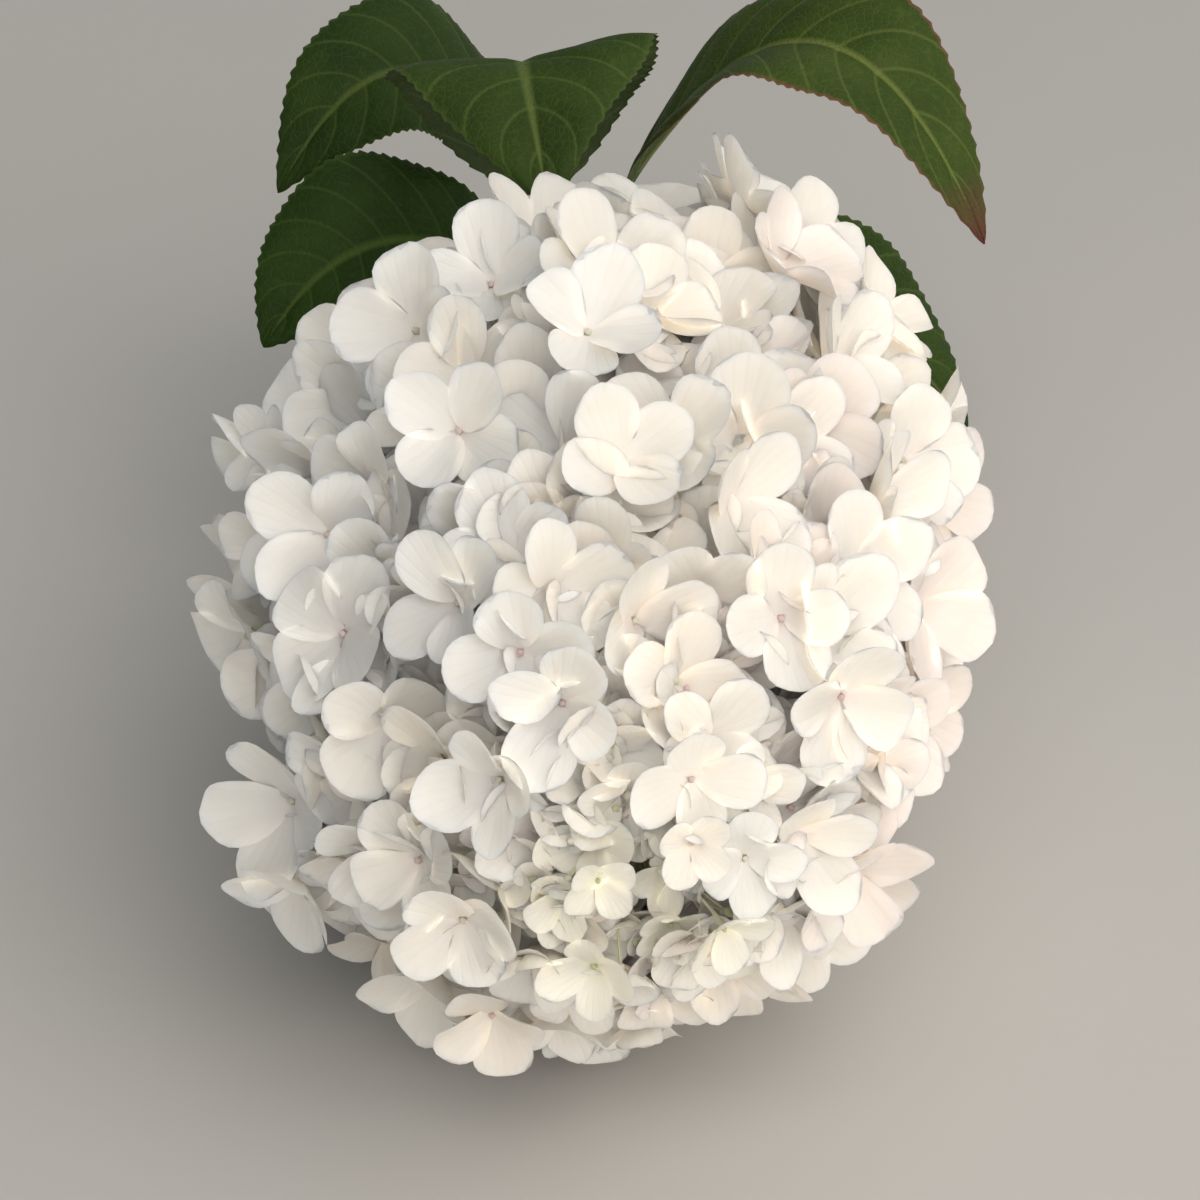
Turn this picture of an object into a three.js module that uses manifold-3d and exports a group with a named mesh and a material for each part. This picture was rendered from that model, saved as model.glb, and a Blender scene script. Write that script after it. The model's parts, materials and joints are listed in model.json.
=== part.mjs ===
// One flower head of a panicle hydrangea on its cut, leafy stem, lying on a level surface.
// Millimetres, +Z up. The head's tip points to -Y and the cut end of the stem lies at the back, to +Y.
//
// The stem runs on through the head as its axis. Side branches stand round it, each with a cluster
// of sterile florets: thin cups of four broad sepals, each on its own stalk. Florets are set out one
// after another from the back of the head to its tip, and each is moved until it passes over or under
// the ones already there, as the real ones do.
import * as THREE from "three";
import { mergeVertices } from "three/addons/utils/BufferGeometryUtils.js";
import Module from "manifold-3d";

const wasm = await Module();
wasm.setup();

const { Vector3 } = THREE;
const DEGREE = Math.PI / 180;
const UP = new Vector3(0, 0, 1);

// The head: an egg whose surface carries the floret centres, wider at its base than at its tip.
const HEAD_RADIUS = 63;
const HEAD_HALF_LENGTH = 102;
const HEAD_TAPER = 0.1;
const HEAD_HEIGHT = 77; // of its middle above the floor
const HEAD_RISE = 2 * DEGREE; // its tip points a little up
const HEAD_TURN = 5 * DEGREE; // and a little to the right

// Where the head stands proud of the egg, or back from it: along its axis as a share of the half
// length, round it in degrees from straight up towards the right, then how far and how wide.
const LOBES = [
  { along: -0.42, around: 48, proud: 22, width: 34 },
  { along: -0.6, around: 16, proud: 6, width: 26 },
  { along: -0.58, around: -6, proud: -20, width: 19 },
  { along: -0.6, around: -46, proud: -9, width: 24 },
  { along: -0.28, around: 64, proud: -11, width: 18 },
  { along: 0, around: 84, proud: 5, width: 24 },
  { along: 0.42, around: 112, proud: -7, width: 20 },
  { along: -0.02, around: -90, proud: 4, width: 20 },
  { along: 0.1, around: -104, proud: -12, width: 17 },
  { along: 0.35, around: -122, proud: 14, width: 28 },
  { along: 0.68, around: -168, proud: 7, width: 24 },
  { along: -0.4, around: 150, proud: 6, width: 36 },
  { along: -0.45, around: -130, proud: 5, width: 34 },
];

// Florets.
const FLORETS = 300;
const FLORET_RADIUS = 16.8;
const TIP_FLORET_RADIUS = 10.5; // the youngest ones, at the tip of the head
const SMALLER_FROM = 0; // of the half length, where florets begin to get smaller
const SEPAL_NOTCH = 0.66; // the outline between two sepals, as a share of the radius
const OUTLINE_POINTS = 16;
const CUP_DEPTH = [0.18, 0.42]; // of the radius, least and most
const FLORET_THICKNESS = 1.1;
const STALK_RADIUS = [0.7, 0.42]; // under the floret and at its foot
const LEAN_TO_TIP = [-0.2, 0.8]; // how far florets face the tip: at the back, and further on
const FULL_LEAN_FROM = -0.35; // of the half length
const LEAN_FROM_CLUSTER = 0.42; // and away from the middle of their own cluster
const CLUSTER_SWELL = 5; // middle florets of a cluster stand this much prouder
const FACING_JITTER = 0.4;
const PLACE_JITTER = 2.4;
const LONGEST_STALK = 60;

// Clusters, each on a side branch.
const CLUSTERS = 27;
const CLUSTER_REACH = 34; // half the width of one
const FIRST_CLUSTER_PHASE = 0.9; // radians, where the first one stands round the axis
const HUB_SHARE = 0.5; // of the way from the axis to the surface, where a branch divides
const HUB_RADIUS = 3.6;
const BRANCH_RADIUS = [1.4, 1.3];
const BRANCH_START = 4; // the last side branch starts this far behind the end of the stem

// Room between solids.
const SEAM = 0.35; // at a joint of two nodes
const ROOM = 1.5; // between two florets, or a floret and another cluster's stalk

// The stem.
const RACHIS_END = HEAD_HALF_LENGTH - 24; // along the head's axis from its middle
const CUT_END = new Vector3(16, 258, 3.3);
const CUT_AIM = new Vector3(9, 212, 26); // the first control point of the stem's bend
const BEND_REACH = 62; // the second one lies this far behind the head
const STEM_RADIUS = { cut: 3.4, base: 2.6, end: 1.5 };
const STEM_SIDES = 8;
const STEM_NODES = [0.46, 0.76]; // shares of the bend where leaves stand
const NODE_SWELL = 0.9;
const NODE_WIDTH = 5;

// Leaves, in two rings of three: each one's middle line leaves the stem at a node, is drawn to its
// bend and ends at its tip. The blade is rolled about it by some degrees, towards the head's tip.
const LEAF_THICKNESS = 1.1;
const PETIOLE_RADIUS = 1.3;
const PETIOLE_SHARE = 0.15;
const LEAVES = [
  { name: "leaf_left", node: 1, bend: [-52, 145, 106], tip: [-78, 120, 68], width: 50, roll: 48 },
  { name: "leaf_right", node: 1, bend: [48, 148, 194], tip: [89, 99, 108], width: 45, roll: 22 },
  { name: "leaf_top", node: 1, bend: [-24, 160, 172], tip: [-10, 94, 120], width: 64, roll: -4 },
  { name: "leaf_under", node: 0, bend: [-18, 178, 2], tip: [-54, 130, 3], width: 42, roll: 0 },
  { name: "leaf_back_left", node: 0, bend: [-40, 186, 152], tip: [-76, 159, 88], width: 46, roll: 30 },
  { name: "leaf_back_right", node: 0, bend: [58, 184, 66], tip: [96, 192, 3], width: 46, roll: 30 },
];
const LEAF_ROWS = 10;
const LEAF_FOLD = 0.15; // how far each half rises from the midrib, as a share of its width

const GOLDEN_ANGLE = Math.PI * (3 - Math.sqrt(5));

// A repeatable source of numbers from 0 to 1.
function seeded(seed) {
  let state = seed >>> 0;
  return () => {
    state = (Math.imul(state, 1664525) + 1013904223) >>> 0;
    return state / 4294967296;
  };
}

const spread = (random) => random() * 2 - 1;
const clamp = (value, low, high) => Math.min(high, Math.max(low, value));
const smooth = (share) => share * share * (3 - 2 * share);
const along = (from, direction, reach) => from.clone().addScaledVector(direction, reach);

// The head's own frame: axis to its tip, right, and up.
const AXIS = new Vector3(
  Math.sin(HEAD_TURN) * Math.cos(HEAD_RISE),
  -Math.cos(HEAD_TURN) * Math.cos(HEAD_RISE),
  Math.sin(HEAD_RISE),
);
const RIGHT = new Vector3(Math.cos(HEAD_TURN), Math.sin(HEAD_TURN), 0);
const OVER = new Vector3().crossVectors(AXIS, RIGHT);
const MIDDLE = new Vector3(0, 0, HEAD_HEIGHT);

// The egg's radius at a place along its axis, from minus to plus the half length.
function headRadius(u) {
  const share = clamp(u / HEAD_HALF_LENGTH, -1, 1);
  return HEAD_RADIUS * Math.sqrt(1 - share * share) * (1 - HEAD_TAPER * share);
}

function headSlope(u) {
  const step = 0.5;
  return (headRadius(u + step) - headRadius(u - step)) / (2 * step);
}

function floretRadius(u) {
  const share = clamp((u / HEAD_HALF_LENGTH - SMALLER_FROM) / (1 - SMALLER_FROM), 0, 1);
  return FLORET_RADIUS + (TIP_FLORET_RADIUS - FLORET_RADIUS) * share ** 1.3;
}

// A point of the egg and the direction straight out of it.
function eggPoint(u, turn) {
  const out = RIGHT.clone().multiplyScalar(Math.sin(turn)).addScaledVector(OVER, Math.cos(turn));
  const point = along(along(MIDDLE, AXIS, u), out, headRadius(u));
  const normal = out.addScaledVector(AXIS, -clamp(headSlope(u), -6, 6)).normalize();
  return { u, turn, point, normal };
}

function leanToTip(u) {
  const [back, front] = LEAN_TO_TIP;
  const share = (u / HEAD_HALF_LENGTH + 1) / (FULL_LEAN_FROM + 1);
  return back + (front - back) * smooth(clamp(share, 0, 1));
}

const lobePoints = LOBES.map(
  (lobe) => eggPoint(lobe.along * HEAD_HALF_LENGTH, lobe.around * DEGREE).point,
);

// A point of the head: on the egg, moved out or in by the lobes near it.
function headPoint(u, turn) {
  const site = eggPoint(u, turn);
  let proud = 0;
  LOBES.forEach((lobe, i) => {
    proud += lobe.proud * Math.exp(-((lobePoints[i].distanceTo(site.point) / lobe.width) ** 2));
  });
  return { ...site, point: along(site.point, site.normal, proud) };
}

// Places spread evenly over the egg on a golden spiral, closer together where florets are smaller.
function spiralSites(count, phase, start, end) {
  const steps = 400;
  const reach = (end - start) / steps;
  const sums = [0];
  for (let i = 0; i < steps; i++) {
    const u = start + (i + 0.5) * reach;
    const area = headRadius(u) * Math.hypot(1, headSlope(u)) * reach;
    sums.push(sums[i] + area / floretRadius(u) ** 2);
  }
  const sites = [];
  for (let i = 0; i < count; i++) {
    const wanted = ((i + 0.5) / count) * sums[steps];
    const step = sums.findIndex((sum) => sum >= wanted) - 1;
    const inside = (wanted - sums[step]) / (sums[step + 1] - sums[step]);
    sites.push(headPoint(start + (step + inside) * reach, i * GOLDEN_ANGLE + phase));
  }
  return sites;
}

// The outline of four sepals: its radius, as a share, at an angle from the middle of one.
function sepalOutline(angle) {
  return SEPAL_NOTCH + (1 - SEPAL_NOTCH) * Math.abs(Math.cos(2 * angle)) ** 0.45;
}

// How high a floret's cup stands above its middle at a distance from its axis.
const cupHeight = (floret, distance) => floret.cup * (distance / floret.radius) ** 1.4;

// A floret's frame: side and across lie in its plane, facing stands on it.
function setFrame(floret) {
  const side = new Vector3().crossVectors(OVER, floret.facing);
  if (side.length() < 0.1) side.crossVectors(RIGHT, floret.facing);
  floret.side = side.normalize();
  floret.across = new Vector3().crossVectors(floret.facing, floret.side);
  return floret;
}

function onFloret(floret, distance, angle) {
  return floret.centre
    .clone()
    .addScaledVector(floret.side, distance * Math.cos(angle + floret.twist))
    .addScaledVector(floret.across, distance * Math.sin(angle + floret.twist))
    .addScaledVector(floret.facing, cupHeight(floret, distance));
}

// Points all over a floret, for the fitting test: its outline, a ring half way out, and its middle.
function floretSamples(floret) {
  const samples = [floret.centre.clone()];
  for (let i = 0; i < OUTLINE_POINTS; i++) {
    const angle = (i / OUTLINE_POINTS) * 2 * Math.PI;
    const reach = floret.radius * sepalOutline(angle);
    samples.push(onFloret(floret, reach, angle));
    samples.push(onFloret(floret, reach * 0.78, angle));
    if (i % 2) samples.push(onFloret(floret, reach * 0.45, angle));
  }
  return samples;
}

// How far a point lies over a floret's cup, or null where it is past the floret's outline.
function heightOver(floret, point) {
  const offset = point.clone().sub(floret.centre);
  const x = offset.dot(floret.side);
  const y = offset.dot(floret.across);
  const distance = Math.hypot(x, y);
  const reach = floret.radius * sepalOutline(Math.atan2(y, x) - floret.twist) + ROOM / 2;
  return distance > reach ? null : offset.dot(floret.facing) - cupHeight(floret, distance);
}

// True if the points all pass over the floret, or all under it, with room between.
function passes(points, floret, room) {
  let lowest = Infinity;
  let highest = -Infinity;
  for (const point of points) {
    const height = heightOver(floret, point);
    if (height === null || Math.abs(height) > 2 * FLORET_RADIUS) continue;
    lowest = Math.min(lowest, height);
    highest = Math.max(highest, height);
  }
  return lowest > room || highest < -room;
}

function stalkPoints(floret) {
  const points = [];
  for (let i = 3; i < 24; i++) points.push(floret.hub.clone().lerp(floret.centre, i / 24));
  return points;
}

// True if a floret and its stalk are clear of every floret already there, and of their stalks.
function fits(floret, placed) {
  for (const other of placed) {
    const gap = other.centre.distanceTo(floret.centre) - other.radius - floret.radius;
    if (gap > LONGEST_STALK) continue;
    if (gap < 8 && !passes(floret.samples, other, ROOM)) return false;
    if (gap < 8 && !passes(other.samples, floret, ROOM)) return false;
    if (other.cluster === floret.cluster) continue;
    if (!passes(floret.stalk, other, ROOM) || !passes(other.stalk, floret, ROOM)) return false;
  }
  return true;
}

function clearOfHubs(floret, clusters) {
  return clusters.every(
    (cluster) =>
      cluster === floret.cluster ||
      floret.stalk.every((point) => point.distanceTo(cluster.hub) > HUB_RADIUS + ROOM),
  );
}

// Moves a floret up off the floor where it would reach below it.
function liftOffFloor(floret) {
  const lowest = Math.min(...floretSamples(floret).map((point) => point.z));
  if (lowest < 0) floret.centre.z -= lowest;
}

// The offsets that are tried for a floret, outwards and inwards by turns.
const OFFSETS = [0, 1.5, -1.5, 3, -3, 4.5, -4.5, 6, -6, 7.5, 9, -7.5];
const SIZES = [1, 0.88, 0.76];

// Sets out every floret. Returns those that found a place.
function placeFlorets(sites, clusters, random) {
  const placed = [];
  for (const site of sites) {
    const near = clusters.reduce((best, cluster) =>
      cluster.point.distanceTo(site.point) < best.point.distanceTo(site.point) ? cluster : best,
    );
    const fromMiddle = site.point.clone().sub(near.point);
    const away = clamp(fromMiddle.length() / CLUSTER_REACH, 0, 1.2);
    const jitter = new Vector3(spread(random), spread(random), spread(random));
    const facing = site.normal
      .clone()
      .addScaledVector(AXIS, leanToTip(site.u))
      .addScaledVector(fromMiddle.normalize(), LEAN_FROM_CLUSTER * away)
      .addScaledVector(jitter, FACING_JITTER)
      .normalize();
    const size = 0.92 + 0.16 * random();
    const cup = CUP_DEPTH[0] + (CUP_DEPTH[1] - CUP_DEPTH[0]) * random();
    const twist = random() * Math.PI;
    const nudge = new Vector3(spread(random), spread(random), spread(random)).multiplyScalar(PLACE_JITTER);
    const start = along(site.point, site.normal, CLUSTER_SWELL * (1 - 1.5 * away * away)).add(nudge);
    let done = false;
    for (const share of SIZES) {
      for (const offset of OFFSETS) {
        const radius = floretRadius(site.u) * size * share;
        const floret = setFrame({
          cluster: near,
          u: site.u,
          hub: near.hub,
          centre: along(start, site.normal, offset),
          facing,
          radius,
          cup: cup * radius,
          twist,
        });
        liftOffFloor(floret);
        floret.samples = floretSamples(floret);
        floret.stalk = stalkPoints(floret);
        if (!clearOfHubs(floret, clusters) || !fits(floret, placed)) continue;
        placed.push(floret);
        near.florets.push(floret);
        done = true;
        break;
      }
      if (done) break;
    }
  }
  return placed;
}

// Side branches stand on a golden spiral too, and the last one ends the stem.
function makeClusters() {
  const back = -HEAD_HALF_LENGTH * 0.97;
  const sites = spiralSites(CLUSTERS, FIRST_CLUSTER_PHASE, back, HEAD_HALF_LENGTH * 0.97);
  const clusters = sites.map((site, i) => {
    const start = back + ((i + 0.5) / CLUSTERS) * (RACHIS_END - BRANCH_START - back);
    return { ...site, from: along(MIDDLE, AXIS, start), florets: [] };
  });
  const tip = headPoint(HEAD_HALF_LENGTH, 0);
  clusters.push({ ...tip, normal: AXIS.clone(), from: along(MIDDLE, AXIS, RACHIS_END), florets: [] });
  for (const cluster of clusters) cluster.hub = cluster.from.clone().lerp(cluster.point, HUB_SHARE);
  return clusters;
}

// Turns corner points and triangles, or a geometry, into a solid.
function solid(points, triangles) {
  const vertProperties = new Float32Array(points.flatMap((point) => point.toArray()));
  return new wasm.Manifold(
    new wasm.Mesh({ numProp: 3, vertProperties, triVerts: new Uint32Array(triangles.flat()) }),
  );
}

function solidOf(geometry) {
  geometry.deleteAttribute("normal");
  geometry.deleteAttribute("uv");
  const merged = mergeVertices(geometry, 1e-4);
  return new wasm.Manifold(
    new wasm.Mesh({
      numProp: 3,
      vertProperties: merged.attributes.position.array,
      triVerts: new Uint32Array(merged.index.array),
    }),
  );
}

// A tapering round limb through the points of a path, closed at both ends.
function limb(path, radii, sides) {
  const rings = [];
  let side = null;
  path.forEach((point, i) => {
    const before = path[Math.max(0, i - 1)];
    const after = path[Math.min(path.length - 1, i + 1)];
    const direction = after.clone().sub(before).normalize();
    if (!side) side = new Vector3().crossVectors(direction, Math.abs(direction.x) > 0.9 ? UP : RIGHT);
    side = side.clone().addScaledVector(direction, -side.dot(direction)).normalize();
    const across = new Vector3().crossVectors(direction, side);
    for (let k = 0; k < sides; k++) {
      const angle = (k / sides) * 2 * Math.PI;
      rings.push(
        point
          .clone()
          .addScaledVector(side, radii[i] * Math.cos(angle))
          .addScaledVector(across, radii[i] * Math.sin(angle)),
      );
    }
  });
  const triangles = [];
  for (let i = 0; i + 1 < path.length; i++)
    for (let k = 0; k < sides; k++) {
      const next = (k + 1) % sides;
      const [a, b, c, d] = [i * sides + k, i * sides + next, (i + 1) * sides + next, (i + 1) * sides + k];
      triangles.push([a, b, c], [a, c, d]);
    }
  const last = (path.length - 1) * sides;
  for (let k = 1; k + 1 < sides; k++) triangles.push([0, k + 1, k], [last, last + k, last + k + 1]);
  return solid(rings, triangles);
}

// A floret and its stalk as one closed skin: a cup with a sharp rim, drawn out below its middle.
function floretSolid(floret) {
  const points = [floret.centre.clone()];
  for (let i = 0; i < OUTLINE_POINTS; i++) {
    const angle = (i / OUTLINE_POINTS) * 2 * Math.PI;
    points.push(onFloret(floret, floret.radius * sepalOutline(angle), angle));
  }
  const neck = along(floret.centre, floret.facing, -FLORET_THICKNESS);
  const stalk = floret.hub.clone().sub(neck).normalize();
  const foot = along(floret.hub, stalk, -1);
  const stalkSide = floret.side.clone().addScaledVector(stalk, -floret.side.dot(stalk)).normalize();
  const stalkAcross = new Vector3().crossVectors(stalkSide, stalk);
  const ringAt = (centre, side, across, radius, k) => {
    const angle = ((k + 0.5) / 3) * 2 * Math.PI + floret.twist;
    return along(along(centre, side, radius * Math.cos(angle)), across, radius * Math.sin(angle));
  };
  const [top, low] = STALK_RADIUS;
  for (let k = 0; k < 3; k++) points.push(ringAt(neck, floret.side, floret.across, top, k));
  for (let k = 0; k < 3; k++) points.push(ringAt(foot, stalkSide, stalkAcross, low, k));
  const ring = OUTLINE_POINTS + 1;
  const end = ring + 3;
  const triangles = [];
  for (let i = 0; i < OUTLINE_POINTS; i++) {
    const next = (i + 1) % OUTLINE_POINTS;
    const here = Math.floor((i * 3) / OUTLINE_POINTS);
    const there = Math.floor((next * 3) / OUTLINE_POINTS);
    triangles.push([0, i + 1, next + 1], [next + 1, i + 1, ring + here]);
    if (here !== there) triangles.push([next + 1, ring + here, ring + there]);
  }
  for (let k = 0; k < 3; k++) {
    const next = (k + 1) % 3;
    triangles.push([ring + next, ring + k, end + k], [ring + next, end + k, end + next]);
  }
  triangles.push([end, end + 2, end + 1]);
  return solid(points, triangles);
}

// The stem's middle line: a bend up from the cut end, then straight on through the head.
function stemLine() {
  const base = along(MIDDLE, AXIS, -HEAD_HALF_LENGTH);
  const bend = new THREE.CubicBezierCurve3(CUT_END, CUT_AIM, along(base, AXIS, -BEND_REACH), base);
  const bendSteps = 20;
  const straightSteps = 4;
  const path = bend.getPoints(bendSteps);
  const end = along(MIDDLE, AXIS, RACHIS_END);
  for (let i = 1; i <= straightSteps; i++) path.push(base.clone().lerp(end, i / straightSteps));
  const nodes = STEM_NODES.map((share) => bend.getPoint(share));
  const radii = path.map((point, i) => {
    const { cut, base: neck } = STEM_RADIUS;
    const radius =
      i <= bendSteps
        ? cut + (neck - cut) * (i / bendSteps)
        : neck + (STEM_RADIUS.end - neck) * ((i - bendSteps) / straightSteps);
    const nearest = Math.min(...nodes.map((node) => node.distanceTo(point)));
    return radius + NODE_SWELL * Math.exp(-((nearest / NODE_WIDTH) ** 2));
  });
  return { path, radii, nodes, bend };
}

// What is left of a solid beyond the stem: its largest body.
function clearOf(stemRoom, made) {
  const bodies = made.subtract(stemRoom).decompose();
  return bodies.reduce((best, body) => (body.volume() > best.volume() ? body : best));
}

// One cluster: its branch, the knob where it divides, and its florets, cut clear of the stem.
function clusterSolid(cluster, stemRoom) {
  const branch = limb([cluster.from, cluster.hub], BRANCH_RADIUS, 4);
  const knob = solidOf(new THREE.OctahedronGeometry(HUB_RADIUS).translate(...cluster.hub.toArray()));
  let made = branch.add(knob);
  for (const floret of cluster.florets) made = made.add(floretSolid(floret));
  return clearOf(stemRoom, made);
}

// How wide a leaf is, as a share of its full width, from its base to its tip.
function leafWidth(share) {
  return Math.sin(Math.PI * share ** 0.82) ** 0.8 * (1 - 0.25 * share ** 3);
}

// A leaf's middle line, and the blade's frame at a share of the line's length. The blade arches with
// its line and is flat across it, but for its roll.
function leafLine(leaf, node) {
  const bend = new Vector3(...leaf.bend);
  const tip = new Vector3(...leaf.tip);
  const line = new THREE.QuadraticBezierCurve3(node, bend, tip);
  const level = new Vector3().crossVectors(bend.clone().sub(node), tip.clone().sub(bend)).normalize();
  if (level.dot(AXIS) < 0) level.negate();
  const over = new Vector3().crossVectors(line.getTangent(0.7), level).z > 0 ? 1 : -1;
  const frame = (share) => {
    const tangent = line.getTangent(share);
    const normal = new Vector3().crossVectors(tangent, level).multiplyScalar(over);
    normal.multiplyScalar(Math.cos(leaf.roll * DEGREE));
    normal.addScaledVector(level, Math.sin(leaf.roll * DEGREE)).normalize();
    return { point: line.getPoint(share), normal, side: new Vector3().crossVectors(tangent, normal) };
  };
  return { line, frame };
}

// A leaf: a folded, arching blade with sharp edges and its stalk, lying on the floor where it meets it.
function leafSolid(leaf, node, stemRoom) {
  const { line, frame } = leafLine(leaf, node);
  const columns = 4;
  const points = [];
  const row = [];
  for (let i = 0; i <= LEAF_ROWS; i++) {
    const share = i / LEAF_ROWS;
    const { point, normal, side } = frame(PETIOLE_SHARE + (1 - PETIOLE_SHARE) * share);
    const half = (leaf.width / 2) * leafWidth(share);
    const ends = i === 0 || i === LEAF_ROWS;
    row.push([]);
    for (let j = 0; j <= columns; j++) {
      const across = (2 * j) / columns - 1;
      const edge = j === 0 || j === columns;
      const rise = LEAF_FOLD * half * Math.abs(across);
      const middle = along(along(point, side, half * across), normal, rise);
      const thick = ends || edge ? 0 : LEAF_THICKNESS / 2;
      if (ends && j) {
        row[i].push(row[i][0]);
        continue;
      }
      const top = along(middle, normal, thick);
      const under = along(middle, normal, -thick);
      under.z = Math.max(under.z, edge ? 0.4 : 0);
      top.z = Math.max(top.z, under.z + thick * 1.6);
      row[i].push([points.length, thick ? points.length + 1 : points.length]);
      points.push(top);
      if (thick) points.push(under);
    }
  }
  const triangles = [];
  const add = (a, b, c) => {
    if (a !== b && b !== c && a !== c) triangles.push([a, b, c]);
  };
  for (let i = 0; i < LEAF_ROWS; i++)
    for (let j = 0; j < columns; j++) {
      const [a, b, c, d] = [row[i][j], row[i][j + 1], row[i + 1][j + 1], row[i + 1][j]];
      add(a[0], b[0], c[0]);
      add(a[0], c[0], d[0]);
      add(a[1], c[1], b[1]);
      add(a[1], d[1], c[1]);
    }
  const blade = solid(points, triangles);
  const stalkEnd = PETIOLE_SHARE + 0.1;
  const stalk = [0, 1, 2, 3].map((i) => line.getPoint((i / 3) * stalkEnd));
  const radii = stalk.map((_, i) => PETIOLE_RADIUS - (i / 3) * 0.6);
  return clearOf(stemRoom, blade.add(limb(stalk, radii, 5)));
}

function mesh(name, made, colour, roughness) {
  const { numProp, vertProperties, triVerts } = made.getMesh();
  const positions = new Float32Array((vertProperties.length / numProp) * 3);
  for (let i = 0; i < positions.length / 3; i++)
    positions.set(vertProperties.subarray(i * numProp, i * numProp + 3), i * 3);
  const geometry = new THREE.BufferGeometry();
  geometry.setAttribute("position", new THREE.BufferAttribute(positions, 3));
  geometry.setIndex(new THREE.BufferAttribute(triVerts, 1));
  geometry.computeVertexNormals();
  const material = new THREE.MeshStandardMaterial({ color: colour, roughness, metalness: 0 });
  const made3d = new THREE.Mesh(geometry, material);
  made3d.name = name;
  return made3d;
}

const COLOURS = { sepals: 0xf3f0e6, leaf: 0x3f6a2a, bark: 0x8a7a4e };

const random = seeded(20261);
const clusters = makeClusters();
const sites = spiralSites(FLORETS, 0.3, -HEAD_HALF_LENGTH * 0.97, HEAD_HALF_LENGTH);
placeFlorets(sites, clusters, random);

const stem = stemLine();
const stemSolid = limb(stem.path, stem.radii, STEM_SIDES);
const roomPath = [...stem.path];
roomPath[roomPath.length - 1] = along(roomPath.at(-1), AXIS, SEAM);
const stemRoom = limb(
  roomPath,
  stem.radii.map((radius) => radius + SEAM),
  STEM_SIDES,
);

const plant = new THREE.Group();
plant.add(mesh("stem", stemSolid, COLOURS.bark, 0.7));
clusters.forEach((cluster, i) => {
  const name = `florets_${String(i + 1).padStart(2, "0")}`;
  plant.add(mesh(name, clusterSolid(cluster, stemRoom), COLOURS.sepals, 0.6));
});
for (const leaf of LEAVES)
  plant.add(mesh(leaf.name, leafSolid(leaf, stem.nodes[leaf.node], stemRoom), COLOURS.leaf, 0.5));

// The origin is on the floor, under the middle of the whole.
const box = new THREE.Box3().setFromObject(plant);
const centre = box.getCenter(new Vector3());
plant.position.set(-centre.x, -centre.y, 0);

export default plant;
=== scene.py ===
"""Looks of one cut flower head of a panicle hydrangea, on its leafy stem, lying on a pale floor.

Sizes are in millimetres, as in the part's source, and become metres as a mesh is made. The florets
are set out by the source's rule and seed, and more rounds of that rule fill the gaps between them
and behind them. Each floret then gets its four sepals, its eye and its stalk.
"""
import json
import math
from itertools import product

import bpy
import numpy as np
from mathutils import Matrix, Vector


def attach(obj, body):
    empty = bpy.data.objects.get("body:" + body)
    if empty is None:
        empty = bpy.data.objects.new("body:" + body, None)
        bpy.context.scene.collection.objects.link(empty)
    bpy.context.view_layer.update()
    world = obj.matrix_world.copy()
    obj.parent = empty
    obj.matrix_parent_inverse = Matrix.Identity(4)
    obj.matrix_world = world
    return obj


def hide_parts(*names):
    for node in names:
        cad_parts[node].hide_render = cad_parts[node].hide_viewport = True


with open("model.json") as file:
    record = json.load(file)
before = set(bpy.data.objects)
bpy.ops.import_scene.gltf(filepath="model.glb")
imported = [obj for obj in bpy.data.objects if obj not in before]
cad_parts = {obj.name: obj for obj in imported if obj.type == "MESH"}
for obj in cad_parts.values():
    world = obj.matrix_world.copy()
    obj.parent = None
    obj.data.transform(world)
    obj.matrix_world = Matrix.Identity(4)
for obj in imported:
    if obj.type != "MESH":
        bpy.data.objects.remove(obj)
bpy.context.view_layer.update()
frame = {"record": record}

METRE = 0.001  # one millimetre
DEGREE = math.pi / 180
UP = np.array([0.0, 0.0, 1.0])
GOLDEN_ANGLE = math.pi * (3 - math.sqrt(5))

# The head: an egg whose surface carries the floret centres.
HEAD_RADIUS = 63
HEAD_HALF_LENGTH = 102
HEAD_TAPER = 0.1
HEAD_HEIGHT = 77
HEAD_RISE = 2 * DEGREE
HEAD_TURN = 5 * DEGREE
STEEPEST_SLOPE = 6

# Where the head stands proud of the egg: along it, round it in degrees, how far and how wide.
LOBES = [
    (-0.42, 48, 22, 34),
    (-0.6, 16, 6, 26),
    (-0.58, -6, -20, 19),
    (-0.6, -46, -9, 24),
    (-0.28, 64, -11, 18),
    (0, 84, 5, 24),
    (0.42, 112, -7, 20),
    (-0.02, -90, 4, 20),
    (0.1, -104, -12, 17),
    (0.35, -122, 14, 28),
    (0.68, -168, 7, 24),
    (-0.4, 150, 6, 36),
    (-0.45, -130, 5, 34),
]

# Clusters on their side branches.
CLUSTERS = 27
CLUSTER_REACH = 34
FIRST_CLUSTER_PHASE = 0.9
CLUSTERS_END = 0.97  # as a share of the half length
HUB_SHARE = 0.5
HUB_RADIUS = 3.6
BRANCH_START = 4
RACHIS_END = HEAD_HALF_LENGTH - 24
FLORET_NODES = [f"florets_{i + 1:02d}" for i in range(CLUSTERS + 1)]

# Florets, as the solids have them.
FLORET_RADIUS = 16.8
TIP_FLORET_RADIUS = 10.5
RADIUS_FALL = 1.3
LEAST_SIZE, SIZE_SPREAD = 0.92, 0.16
SEPAL_NOTCH = 0.66
NOTCH_POWER = 0.45
CUP_DEPTH = (0.18, 0.42)
CUP_POWER = 1.4
LEAN_TO_TIP = (-0.2, 0.8)
FULL_LEAN_FROM = -0.35
LEAN_FROM_CLUSTER = 0.42
CLUSTER_SWELL = 5
SWELL_FALL = 1.5
FARTHEST_OUT = 1.2
FACING_JITTER = 0.4
PLACE_JITTER = 2.4

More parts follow.
